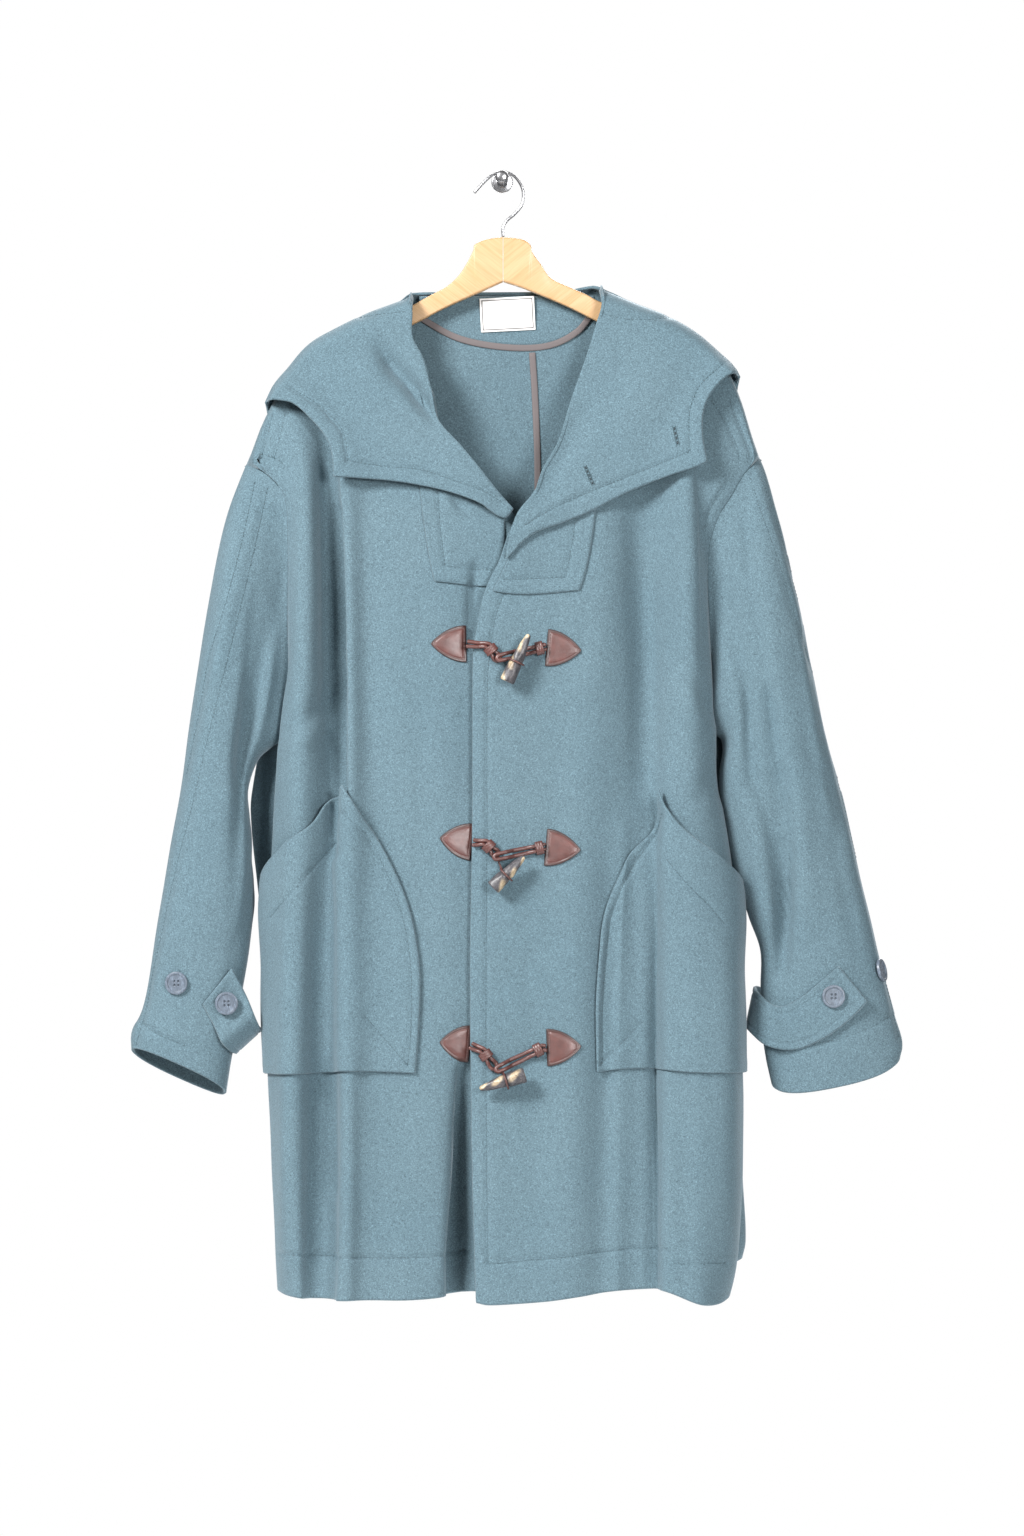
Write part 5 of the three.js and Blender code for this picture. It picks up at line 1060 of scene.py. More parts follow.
class Sleeve:
    """A tube of rows from the armhole to the cuff, oval across, joined to the fronts and the back."""

    def __init__(self, rows, front, front_column, back_column, relief, folds, fuller):
        rows = np.asarray(rows, float)
        self.folds = folds
        self.fuller = track_of(fuller)
        self.columns = [track(np.arange(len(rows)), rows[:, k]) for k in range(rows.shape[1])]
        self.last = len(rows) - 1
        self.side = np.sign(rows[0][0])
        self.front, self.front_column, self.back_column = front, front_column, back_column
        self.relief = relief

    def armhole(self, turn):
        drop = UNDERARM_DROP * (1 - np.cos(turn)) / 2
        column = np.full(drop.shape, float(self.front_column))
        z = self.front.height(column, drop)
        ahead = self.front.base(column, z)
        behind = back.base(np.full(drop.shape, float(self.back_column)), z)
        p = np.where((turn <= np.pi)[..., None], ahead, behind)
        level = 1 - smooth(0, ARMHOLE_CAP, drop)
        return p + np.stack([self.side * ARMHOLE_GAP + 0 * level, 0 * level, -3 * ARMHOLE_GAP * level], -1)

    def base(self, r, turn):
        """turn 0 is the outer edge, a quarter turn the front, a half turn the inner edge."""
        ox, oz, ix, iz, front, rear, own, crease_at, crease_depth, sag = [f(r) for f in self.columns]
        ix = ix + self.fuller(iz)
        c = power(np.cos(turn), SLEEVE_SQUARE)
        s = power(np.sin(turn), SLEEVE_SQUARE)
        middle = (front + rear) / 2
        share = (1 - c) / 2
        crease = crease_depth * bell(share, crease_at, CREASE_WIDTH) * np.maximum(0, s) ** 0.5
        oval = np.stack([mix(ox, ix, share), middle + (front - middle) * s + crease,
                         mix(oz, iz, share) - sag * s], -1)
        own = np.clip(own, 0, 1)[..., None]
        return oval * (1 - own) + self.armhole(turn) * own

    def grid(self, rows, turns):
        turn, r = np.meshgrid(turns, rows)
        p = self.base(r, turn)
        if self.side > 0:
            p = p[:, ::-1]
        calm = smooth(0.3, 2.5, rows) * (1 - 0.5 * smooth(self.last - 0.6, self.last, rows))
        by = self.relief(p[..., 0] + 0.6 * p[..., 1], p[..., 2]) * calm[:, None]
        normals = grid_normals(p, True)
        ahead = smooth(0.0, 0.6, -normals[..., 1])
        by = by + self.folds(p[..., 0], p[..., 2]) * ahead * calm[:, None]
        return self.tucked(p + normals * by[..., None])

    def tucked(self, p):
        """The sleeve's end goes on for a seam's width behind the edge of the armhole."""
        middle = p[0].mean(0)
        inward = unit((middle - p[0]) * np.array([0, 1, 1]))
        first = p[0] + inward * SLEEVE_TUCK + np.array([-self.side * SLEEVE_TUCK_ASIDE, 0, 0])
        return np.concatenate([first[None], p])


left_sleeve = Sleeve(
    SLEEVE_LEFT, left_front, 0, 0,
    relief_of(LEFT_SLEEVE_CREASES, 0.9, 0.8), relief_of(LEFT_SLEEVE_FOLDS, 0), FULLER_LEFT)
right_sleeve = Sleeve(
    SLEEVE_RIGHT, right_front, right_front.count, back.count,
    relief_of(RIGHT_SLEEVE_CREASES, 0.9, 2.3), relief_of(RIGHT_SLEEVE_FOLDS, 0), FULLER_RIGHT)
sleeve_pieces = {}
for name, sleeve, stitches in (("sleeve_left", left_sleeve, LEFT_SLEEVE_STITCH),
                               ("sleeve_right", right_sleeve, RIGHT_SLEEVE_STITCH)):
    end = sleeve.last
    rows = joined(steps(0, 2, 24), steps(2, end - 0.8, 150), steps(end - 0.8, end, 16))
    outer = sleeve.grid(rows, circle(SLEEVE_SIDES))
    normals = grid_normals(outer, True)
    inner = outer - normals * CLOTH
    facing = (normals[..., 1] < 0)[..., None]
    depth, width = SLEEVE_GROOVE
    for line in stitches:
        dent = depth * np.exp(-(line_distance(outer, line) / width) ** 2)
        outer = outer - normals * facing * dent[..., None]
    sleeve_pieces[name] = wall(name, outer, inner, wool, "wool", ring=True)


# Hood

class Lapel:
    """A side of the hood, laid open over the shoulder and folded back on itself at the neck."""

    def __init__(self, shape, relief):
        self.shape, self.relief = shape, relief
        self.sheet = between(*(path(shape[edge]) for edge in ("top", "foot", "inner", "outer")))
        self.line = track_of(sorted(shape["top"]))

    def point(self, u, v):
        q = self.sheet(u, v)
        x, z = q[..., 0], q[..., 1]
        fall = np.clip((self.line(x) - z) / HOOD_ROLL, 0, 1)
        rolled = np.sqrt(1 - (1 - fall) ** 2)
        face = front_depth(z) - self.shape["lift"](u, v) - self.relief(x, z) * smooth(0.1, 0.3, v + 0 * u)
        return np.stack([x, mix(HANGER_Y + 3, face, rolled), z], -1)

    def grid(self, rows, shares):
        """Each row starts behind the fold at the neck opening, goes round it and out to the far edge."""
        u, v = np.meshgrid(shares, rows)
        face = self.point(u, v)
        start = face[:, 0]
        deep = mix(0.12, 1, smooth(0, 0.15, rows))
        turned = []
        for angle in steps(0, 1, 8)[:-1]:
            back_by, aside = FOLD_DEPTH * (1 - angle) ** 1.6, FOLD_ASIDE * (1 - angle) ** 1.9
            by = np.stack([self.shape["away"] * aside + 0 * deep, back_by * deep, 0 * deep], -1)
            turned.append(start + by)
        whole = np.concatenate([np.stack(turned, 1), face], 1)
        return whole if self.shape["away"] > 0 else whole[:, ::-1]


lapel_left = Lapel(LAPEL_LEFT, relief_of(LAPEL_LEFT_CREASES, 0.5, 1.1))
lapel_right = Lapel(LAPEL_RIGHT, relief_of(LAPEL_RIGHT_CREASES, 0.5, 2.7))
LAPEL_ROWS = joined(steps(0, 0.12, 10), steps(0.12, 1, 62))
LAPEL_SHARES = joined(steps(0, 0.2, 14), steps(0.2, 0.85, 40), steps(0.85, 1, 14))
lapel_pieces = {}
for name, lapel, stitches in (("hood_front_left", lapel_left, HOOD_LEFT_STITCH),
                              ("hood_front_right", lapel_right, HOOD_RIGHT_STITCH)):
    plain = lapel.grid(LAPEL_ROWS, LAPEL_SHARES)
    outer = groove(plain, stitches, *HOOD_GROOVE)
    lapel_pieces[name] = wall(name, outer, plain - grid_normals(plain) * CLOTH, wool, "wool", lip=1.3)


def neck_seam(x):
    """The height of the back's upper edge at x, between its two neck points."""
    x = np.asarray(x, float)
    low, high = NECK_FEATURES
    return back.top(halved(np.full(x.shape, low), np.full(x.shape, high),
                           lambda t: back.plain(t, back.top(t))[..., 0] < x))


def stand_grid(columns, rows):
    """The part of the hood that stands behind the hanger, from the neck seam up to the fold."""
    s, v = np.meshgrid(steps(0, 1, columns), steps(0, 1, rows))
    x = mix(STAND["from"], STAND["to"], s)
    low = neck_seam(x) + SEAM_GAP * 5
    wave = 0.5 * np.sin(x / 19 + v * 2) * np.sin(np.pi * v)
    y = mix(STAND["top_front"], STAND["front"], smooth(0, 0.7, v)) + wave
    return np.stack([x, y, mix(STAND["top"], low, v)], -1)


stand = stand_grid(60, 16)
wall("hood_stand", stand, stand + np.array([0, CLOTH, 0]), wool, "wool", lip=0.8)

pouch_line = track_of(HOOD_LINE_LEFT[::-1] + [[-60, -117], [0, -117], [60, -116]] + HOOD_LINE_RIGHT)
pouch_relief = relief_of(POUCH_CREASES, 0.5, 4.2)


def pouch_grid():
    """The rest of the hood hangs behind as a flat pouch, open at its upper edge."""
    x = mix(*POUCH["ends"], steps(0, 1, 130))
    top = pouch_line(x) - POUCH["under_lapels"] * smooth(90, 106, np.abs(x))
    narrow = np.abs(x) / 240
    low = top - POUCH["depth"] * (1 - 0.55 * narrow ** 3)
    edge = top - POUCH["edge_drop"] * (1 - 0.75 * narrow ** 2)
    start = mix(POUCH["mouth_y"], HANGER_Y - 0.5, smooth(86, 100, np.abs(x)))
    inner_y, outer_y, bottom = POUCH["inner_y"], POUCH["outer_y"], POUCH["bottom"]
    middle, half = (inner_y + outer_y) / 2, (outer_y - inner_y) / 2
    rows = [(start, top), (mix(start, inner_y, 0.3), top - 0.15), (mix(start, inner_y, 0.6), top - 0.5),
            (inner_y + 2 + 0 * x, top - 4), (inner_y + 0 * x, top - 14)]
    rows += [(inner_y + 0 * x, mix(top - 14, low, s)) for s in steps(0, 1, 22)[1:-1]]
    rows += [(middle - half * math.cos(a) + 0 * x, low - bottom * math.sin(a))
             for a in steps(0, math.pi, 10)]
    rows += [(outer_y + 0 * x, mix(low, edge, s)) for s in steps(0, 1, 18)[1:-1]]
    rows += [(outer_y - 1 + 0 * x, edge)]
    grid = np.stack([np.stack([x, y, z], -1) for y, z in rows])
    by = pouch_relief(grid[..., 0], grid[..., 2]) * (grid[..., 1] > middle + 2)
    return grid + np.stack([0 * by, by, 0 * by], -1)


pouch = pouch_grid()
wall("hood_back", pouch, pouch - grid_normals(pouch) * CLOTH, wool, "wool", lip=1.0)


# What is sewn onto the fronts

PANEL_UNIT = 40.0


def on_panel(panel, points, start):
    """A path on a panel through [x, z] points, in feature numbers; [None, z, t] gives the number."""
    number = lambda p: p[2] if p[0] is None else float(panel.find(p[0], p[1], start))
    line = path([[number(p) * PANEL_UNIT, p[1]] for p in points])
    return lambda s: line(s) * np.array([1 / PANEL_UNIT, 1])


def patch(name, panel, us, vs, lift, thick, stitches, **edges):
    """A piece of cloth laid on a panel between four edges, with a slight swell along its seam."""
    start = 1 if panel is left_front else 0
    sheet = between(**{edge: on_panel(panel, points, start) for edge, points in edges.items()})
    u, v = np.meshgrid(us, vs)
    q = sheet(u, v)
    seam = np.minimum(np.minimum(u, 1 - u), 0.5 * np.minimum(v, 1 - v))
    puff = PUFF * np.exp(-((seam - 0.022) / 0.02) ** 2)
    rise = lift(u, v)
    inner, outer = (panel.lifted(q[..., 0], q[..., 1], by) for by in (rise, rise + thick + puff))
    return wall(name, groove(outer, stitches, *PATCH_GROOVE), inner, wool, "wool", lip=1.0)


PUFF = 0.5
LEFT_SIDE = 0.7
RIGHT_SIDE = right_front.count - 0.7

def pocket_lift(u, v):
    """The pocket stands off the front a little along its open edge."""
    return mix(POCKET_GAP, POCKET_FOOT, smooth(0.7, 1, v)) + (
        POCKET_RISE + POCKET_LOOSE * np.sin(np.pi * u)) * (1 - smooth(0.1, 0.5, v))


US = joined(steps(0, 0.08, 8), steps(0.08, 0.92, 56), steps(0.92, 1, 8))
VS = joined(steps(0, 0.06, 8), steps(0.06, 0.96, 96), steps(0.96, 1, 8))
POCKET = (US, VS, pocket_lift, CLOTH)
CHEST_STEPS = steps(0, 1, 36)
CHEST = (CHEST_STEPS, CHEST_STEPS, lambda u, v: LAY_GAP + 0 * u, PATCH_CLOTH)
pocket_left = patch(
    "pocket_left", left_front, *POCKET, POCKET_LEFT_STITCH,
    top=[[None, -712, LEFT_SIDE], [-226, -690], [-213, -676], [-193, -653], [-175, -631], [-156, -614]],
    outer=[[-156, -614], [-146, -641], [-125, -667], [-108, -697], [-96, -726], [-87, -761], [-82, -805],
           [-84, -864], [-87, -899]],
    foot=[[None, -901, LEFT_SIDE], [-200, -900], [-150, -897], [-87, -899]],
    inner=[[None, -712, LEFT_SIDE], [None, -800, LEFT_SIDE], [None, -901, LEFT_SIDE]])
pocket_right = patch(
    "pocket_right", right_front, *POCKET, POCKET_RIGHT_STITCH,
    top=[[158, -618], [164, -635], [181, -659], [205, -682], [218, -698], [None, -719, RIGHT_SIDE]],
    inner=[[158, -618], [146, -660], [125, -688], [111, -714], [100, -747], [95, -791], [92, -835],
    [93, -898]],
    foot=[[93, -898], [146, -894], [190, -898], [None, -900, RIGHT_SIDE]],
    outer=[[None, -719, RIGHT_SIDE], [None, -800, RIGHT_SIDE], [None, -900, RIGHT_SIDE]])
chest_left = patch(
    "chest_patch_left", left_front, *CHEST, CHEST_LEFT_STITCH,
    top=[[-83, -303], [-60, -306], [-31, -316], [4, -338]],
    inner=[[-83, -303], [-77, -354], [-72, -385], [-67, -409]],
    foot=[[-67, -409], [-47, -411], [-10, -414]],
    outer=[[4, -338], [2, -362], [-10, -414]])
chest_right = patch(
    "chest_patch_right", right_front, *CHEST, CHEST_RIGHT_STITCH,
    top=[[22, -362], [50, -345], [94, -325]],
    inner=[[22, -362], [8, -385], [-3, -408], [-8, -419]],
    foot=[[-8, -419], [20, -422], [44, -421], [77, -418]],
    outer=[[94, -325], [90, -360], [84, -394], [77, -418]])


# Toggle fastenings

def front_face(x, z):
    """How far the lapped fronts' outer face lies from the wall at x, z."""
    z = np.broadcast_to(np.asarray(z, float), np.shape(x))
    on_right = right_front.at_xz(x, z, 0)[..., 1]
    on_left = left_front.at_xz(x, z, 1)[..., 1]
    return np.where(x > right_front.plain(np.zeros(np.shape(x)), z)[..., 0], on_right, on_left)


def leather_patch(name, panel, start, edge, tip):
    """An arrow-shaped patch: a straight edge and two sides that curve in to the tip."""
    length = np.linalg.norm(tip - edge)
    along = (tip - edge) / length
    across = np.array([-along[1], along[0]])
    lengths = joined(steps(0, 0.1, 6), steps(0.1, 0.9, 24), steps(0.9, 0.985, 6))
    widths = joined(steps(-1, -0.8, 6), steps(-0.8, 0.8, 22), steps(0.8, 1, 6))
    reach, w = np.meshgrid(lengths, widths, indexing="ij")
    half = PATCH_HALF * (1 - reach ** 2) ** 0.92
    q = edge + along * (reach * length)[..., None] + across * (half * w)[..., None]
    from_edge = np.minimum(np.minimum(reach * length, (1 - reach) * length * 0.7), (1 - np.abs(w)) * half)
    crown = PATCH_CROWN * smooth(0, PATCH_CROWN_REACH, from_edge)
    crease = PATCH_CREASE * np.exp(-((from_edge - PATCH_CREASE_INSET) / 0.55) ** 2)
    t = panel.find(q[..., 0], q[..., 1], start)
    inner = panel.lifted(t, q[..., 1], LAY_GAP)
    outer = panel.lifted(t, q[..., 1], LAY_GAP + LEATHER - PATCH_CROWN + crown - crease)
    # The top face darkens over its outer few millimetres, and its rim and underside are dark: painted
    # shade.
    shaded = np.concatenate([smooth(PATCH_EDGE_SHADE, 0.4, from_edge).ravel(), np.ones(from_edge.size)])
    piece = wall(name, outer, inner, leather, "leather", lip=0.6)
    return paint(piece, "edge", shaded)


def paint(piece, name, values):
    """Keeps one number for each point as a colour layer that a material reads."""
    layer = piece.data.color_attributes.new(name, "FLOAT_COLOR", "POINT")
    whole = np.ones(len(piece.data.vertices))
    whole[:len(values)] = values
    layer.data.foreach_set("color", np.repeat(whole, 4).astype(np.float32))
    return piece


def tube(name, centre, radius, material, slot, sides):
    """A round cord along a line of points, with slightly domed ends."""
    ahead = unit(np.gradient(centre, axis=0))
    side = unit(np.cross(ahead, FORWARD))
    top = unit(np.cross(side, ahead))
    turn = circle(sides)[:, None]
    grid = centre[:, None] + (side[:, None] * np.cos(turn) + top[:, None] * np.sin(turn)) * radius
    dome = radius * 0.35
    points, faces = capped(grid, centre[0] - ahead[0] * dome, centre[-1] + ahead[-1] * dome)
    return build(name, points, faces, material, slot, [name])


def cord_route(edge, wrap, end, step, over):
    """The doubled cord's line: out from the patch along one side, round the end, and back."""
    edge, wrap, end = (np.array(p, float) for p in (edge, wrap, end))
    lap_x = float(right_front.plain(0.0, edge[1])[0])

    def on_cloth(x, z):
        near = 1 - smooth(WRAP_LENGTH * 0.75, WRAP_LENGTH * 1.7, np.hypot(x - wrap[0], z - wrap[1]))
        rise = mix(CORD_DIAMETER / 2, WRAP_RISE, near)
        climb = 0 if over is None else CROSSING * (1 - smooth(8, 17, np.hypot(x - over[0], z - over[1])))
        return front_face(x, z) - rise - LAY_GAP - climb

    def depth(x, z):
        x = np.asarray(x, float)
        z = np.broadcast_to(np.asarray(z, float), x.shape)
        level = on_cloth(np.full(x.shape, lap_x + step), z)
        here = on_cloth(x, z)
        return np.where(x < lap_x + step, np.minimum(here, level), here)

    out, on = unit(wrap - edge), unit(end - wrap)
    start = edge + out * 1.2
    before, after = wrap - on * WRAP_LENGTH * 0.62, wrap + on * WRAP_LENGTH * 0.58
    bend, middle = (out + on) / 2, (start + before) / 2
    half = LOOP_UNDER if over is None else LOOP_OVER
    spots = [(start, out, STRAND_HALF), (middle, bend, STRAND_HALF), (before, on, STRAND_HALF),
             (after, on, STRAND_HALF), (end - on * half, on, half)]
    there, again = ([p + np.array([-d[1], d[0]]) * way * aside for p, d, aside in spots] for way in (1, -1))
    line = path([*there, end, *again[::-1]])(steps(0, 1, 100))
    return np.stack([line[:, 0], depth(line[:, 0], line[:, 1]), line[:, 1]], -1), on, depth


def wind(name, wrap, on, y):
    """A leather winding round both strands: a few turns side by side."""
    centre = np.array([wrap[0], y, wrap[1]])
    along = np.array([on[0], 0, on[1]])
    across = np.array([-on[1], 0, on[0]])
    s = steps(-0.5, 0.5, 40)
    wide, deep = np.cos(circle(28)), np.sin(circle(28))
    bumps = WRAP_BUMP * np.abs(np.sin(WRAP_TURNS * np.pi * (s + 0.5)))
    bumps = bumps - WRAP_END * smooth(0.44, 0.5, np.abs(s))
    thin = (WRAP_WALL - 0.25 + bumps)[:, None]
    high = CORD_DIAMETER / 2 + WRAP_CLEAR + thin
    axis = centre + along * (s * WRAP_LENGTH)[:, None, None]
    outer, inner = (
        axis + across * ((STRAND_HALF + h) * wide)[..., None] + FORWARD * (h * deep)[..., None]
        for h in (high, high - thin))
    return wall(name, outer, inner, leather, "leather", ring=True, lip=0.05)


def toggle_depth(thick, tip):
    xs = np.array([thick[0], tip[0]], float)
    zs = np.array([thick[1], tip[1]], float)
    return float(front_face(xs, zs).min()) - CORD_DIAMETER - 2 * LAY_GAP - TOGGLE_SLACK - TOGGLE_THICK


def horn_toggle(name, thick, tip, cream_side):
    """A horn tip: cut flat at its thick end, uneven along its length, rounded at the thin end."""
    y = toggle_depth(thick, tip)
    foot = np.array([thick[0], y, thick[1]], float)
    along = np.array([tip[0] - thick[0], 0, tip[1] - thick[1]], float)
    length = np.linalg.norm(along)
    along /= length
    across = np.array([-along[2], 0, along[0]])
    s = joined(steps(0, 0.03, 5), steps(0.03, 0.93, 60), steps(0.93, 1, 10))
    plain = track_of([[0, TOGGLE_THICK * 0.9], [0.03, TOGGLE_THICK], [0.4, TOGGLE_THICK * 0.9],
                      [0.7, TOGGLE_THICK * 0.66], [0.94, TOGGLE_TIP * 1.1], [0.985, TOGGLE_TIP * 0.8],
                      [1, TOGGLE_TIP * 0.35]])(s)
    turn = circle(36)
    uneven = 1 + 0.035 * np.sin(3 * turn + 9 * s[:, None]) + 0.025 * np.sin(5 * turn - 14 * s[:, None])
    groove_at = 1 - 0.1 * bell(s, TIE_SHARE, 0.045)[:, None]
    r = plain[:, None] * uneven * groove_at
    grid = (foot + along * (s * length)[:, None, None] + across * (r * np.cos(turn))[..., None]
            + FORWARD * (r * np.sin(turn))[..., None])
    streak = np.cos(turn - cream_side) + 0.25 * np.sin(17 * s[:, None] + 2 * turn)
    cream = smooth(0.72, 1.2, streak + 0.5 * smooth(0.8, 1, s)[:, None])
    piece = build(name, *capped(grid, foot, foot + along * length), horn, "horn", [name])
    return paint(piece, "edge", cream.ravel())


def tie(name, row, end_y):
    """A thin cord that holds the toggle: from the left cord's end round the toggle's middle."""
    thick, tip, left_end = (np.array(row[k], float) for k in ("thick", "tip", "left_end"))
    y = toggle_depth(thick, tip)
    size = np.linalg.norm(tip - thick)
    middle = mix(thick, tip, TIE_SHARE)
    across = np.array([tip[1] - thick[1], thick[0] - tip[0]]) / size
    if (left_end - middle) @ across > 0:
        across = -across
    reach = TOGGLE_THICK * 0.9 + TIE_CLEAR + TIE_DIAMETER / 2
    turned = np.pi * steps(0.62, -0.95, 18)
    under = reach + TIE_UNDER * smooth(0.4, 1.5, turned)
    ring = np.stack([middle[0] + across[0] * reach * np.cos(turned), y + under * np.sin(turned),
                     middle[1] + across[1] * reach * np.cos(turned)], -1)
    near = middle - across * reach
    start = np.array([left_end[0], end_y, left_end[1]])
    lead = mix(start, np.array([near[0], y + reach + TIE_UNDER, near[1]]), 0.6)
    start = start + unit(lead - start) * CORD_DIAMETER * 0.5
    line = path([start, lead, *ring[::2]])(steps(0, 1, 70))
    return tube(name, line, TIE_DIAMETER / 2, leather, "leather", 10)


patch_pieces = []
for number, row in enumerate(FASTENINGS, 1):
    for side, panel, start in (("left", left_front, 1), ("right", right_front, 0)):
        name = f"patch_{side}_{number}"
        edge, tip = np.array(row[side + "_edge"], float), np.array(row[side + "_tip"], float)
        patch_pieces.append((name, leather_patch(name, panel, start, edge, tip), edge, tip))
    routes = [(side, *cord_route(row[side + "_edge"], row[side + "_wrap"], row[side + "_end"], step, over))
              for side, step, over in (("left", 6, None), ("right", 0, row["left_end"]))]
    for side, line, _, _ in routes:
        tube(f"cord_{side}_{number}", line, CORD_DIAMETER / 2, leather, "leather", 14)
    for side, _, on, depth in routes:
        wrap = row[side + "_wrap"]
        wind(f"wrap_{side}_{number}", wrap, on, float(depth(*wrap)))
    horn_toggle(f"toggle_{number}", row["thick"], row["tip"], row["cream"])
    left_depth = routes[0][3]
    tie(f"tie_{number}", row, float(left_depth(*row["left_end"])))


# Sleeve straps and buttons

def surface(piece):
    """A search tree over a piece, so that things can be laid on it."""
    mesh = piece.data
    points = [v.co.copy() for v in mesh.vertices]
    return BVHTree.FromPolygons(points, [tuple(p.vertices) for p in mesh.polygons])


def hit_from_front(tree, x, z, lift=0.0):
    """The first point of a piece behind x, z as seen from the front, moved out by lift, and its normal."""
    place, normal, _, _ = tree.ray_cast(Vector((x / METRE, RAY_START, z / METRE)), Vector((0, 1, 0)))
    if place is None:
        return None, None
    way = np.array(normal)
    way = way if way[1] < 0 else -way
    return np.array(place) * METRE + way * lift, way


sleeve_trees = {name: surface(piece) for name, piece in sleeve_pieces.items()}
STRAP_LIFT = CLOTH + 1.2


def strap_rows(sleeve, rows):
    """Rows with no y lie on the sleeve, one strap's thickness out."""
    found = []
    for x, y, z, wx, wz in rows:
        if y is None:
            hits = [hit_from_front(sleeve_trees[sleeve], x + wx * w, z + wz * w, STRAP_LIFT)[0]
                    for w in (-0.95, -0.5, 0, 0.5, 0.95)]
            y = min(hit[1] for hit in hits if hit is not None)
        found.append([x, y, z, wx, wz])
    return np.array(found)


def strap(name, rows, side):
    columns = [track(np.arange(len(rows)), rows[:, k]) for k in range(5)]
    s = steps(0, len(rows) - 1, 110)
    x, y, z, wx, wz = (f(s)[:, None] for f in columns)
    w = joined(steps(-1, -0.55, 10), steps(-0.55, 0.55, 14), steps(0.55, 1, 10))[None, :]
    grid = np.stack([x + wx * w, y + 0 * w, z + wz * w], -1)
    if side > 0:
        grid = grid[:, ::-1]
    normals = grid_normals(grid)
    if normals[0, 10, 1] > 0:
        normals = -normals
    edge = STRAP_EDGE * np.exp(-((np.abs(w) - 0.72) / 0.055) ** 2)
    ends = STRAP_EDGE * np.exp(-((s[:, None] - 0.34) / 0.07) ** 2) * (np.abs(w) < 0.74)
    outer = grid + normals * (STRAP_FACE - np.maximum(edge, ends))[..., None]
    return wall(name, outer, grid - normals * CLOTH, wool, "wool", lip=1.1)


STRAP_EDGE = 0.6
STRAP_FACE = 0.35
left_rows = strap_rows("sleeve_left", STRAP_LEFT)
right_rows = strap_rows("sleeve_right", STRAP_RIGHT)
strap("sleeve_strap_left", left_rows, -1)
strap("sleeve_strap_right", right_rows, 1)


def lathe(name, profile, place, way, material, slot, sides=64, stands_for=(), carve=None):
    """A turned form: profile rows are [radius, height] from its back to its front."""
    profile = np.asarray(profile, float)
    turn = circle(sides)
    way = unit(np.asarray(way, float))
    side = unit(np.cross(way, [0.0, 0.0, 1.0] if abs(way[2]) < 0.9 else [1.0, 0.0, 0.0]))
    top = np.cross(side, way)
    r, h = profile[:, 0][:, None], profile[:, 1][:, None] + 0 * turn
    if carve is not None:
        h = h - carve(r * np.cos(turn), r * np.sin(turn), h)
    grid = (np.asarray(place, float) + side * (r * np.cos(turn))[..., None]
            + top * (r * np.sin(turn))[..., None] + way * h[..., None])
    return build(name, grid.reshape(-1, 3), quads(len(profile), sides, 0, True), material, slot, stands_for)


def button(name, place, way):
    """A four-holed button with a rounded rim and a sunk middle."""
    r = BUTTON_DIAMETER / 2
    flank, rise = r - BUTTON_ROUND, BUTTON_HIGH - BUTTON_ROUND
    profile = [[0.02, 0], [r - 1.2, 0]]
    profile += [[flank + BUTTON_ROUND * math.sin(a), BUTTON_ROUND * (1 - math.cos(a))]
                for a in steps(0, math.pi / 2, 5)]
    profile += [[flank + BUTTON_ROUND * math.cos(a), rise + BUTTON_ROUND * math.sin(a)]
                for a in steps(0, math.pi / 2, 6)]
    profile += [[r - 1.6, 3.45], [r - 2.1, BUTTON_HIGH]]
    profile += [[r - 2.2 - BUTTON_SUNK * s, BUTTON_HIGH - BUTTON_SUNK * smooth(0, 1, s)]
                for s in steps(0, 1, 5)]
    profile += [[s, BUTTON_HIGH - BUTTON_SUNK] for s in np.linspace(r - 3.7, 0.02, 34)]

    def holes(x, y, h):
        deep = 0 * x
        for hx, hy in ((1, 1), (-1, 1), (1, -1), (-1, -1)):
            from_hole = np.hypot(x - hx * HOLE_AT, y - hy * HOLE_AT)
            deep = deep + HOLE_DEPTH * smooth(1.25, 0.85, from_hole)
        return deep * (h > 2)
    return lathe(name, profile, place, way, button_plastic, "button", 96, [name], holes)


for name, sleeve, x, z in (("button_left_1", "sleeve_left", -325, -811),
                           ("button_right_2", "sleeve_right", 379, -799)):
    button(name, *hit_from_front(sleeve_trees[sleeve], x, z, BUTTON_GAP))
for name, rows, x, z in (("button_left_2", left_rows, -275, -831),
                         ("button_right_1", right_rows, 331, -824)):
    button(name, [x, rows[:2, 1].min() - STRAP_FACE - BUTTON_GAP, z], FORWARD)


# Tapes and label

def strip(name, line, count):
    """A binding tape along a line, faintly ribbed, lower along its edges."""
    p = np.stack([line(s) for s in steps(0, 1, count)])
    ahead = np.gradient(p, axis=0)
    side = unit(np.stack([ahead[:, 2], 0 * ahead[:, 0], -ahead[:, 0]], -1))
    w = steps(-1, 1, 10)
    grid = p[None] + side[None] * (w * TAPE_HALF)[:, None, None]
    face = TAPE_THICK - 0.12 * np.cos(np.pi * 4 * w) - 0.25 * (np.abs(w) > 0.7)
    return wall(name, grid + FORWARD * face[:, None, None], grid, tape, "tape", lip=0.3)


tape_face = STAND["front"] - LAY_GAP


def neck_tape(s):
    x = mix(-84, 94, s)
    return np.array([x, tape_face, float(neck_seam(x)) - 1])


def back_tape(s):
    z = mix(-176.0, -1085.0, s)
    p = back.lifted(np.array(6.0), np.array(z))
    return np.array([p[0], p[1] - CLOTH - LAY_GAP, z])


strip("tape_neck", neck_tape, 90)
strip("tape_back", back_tape, 260)

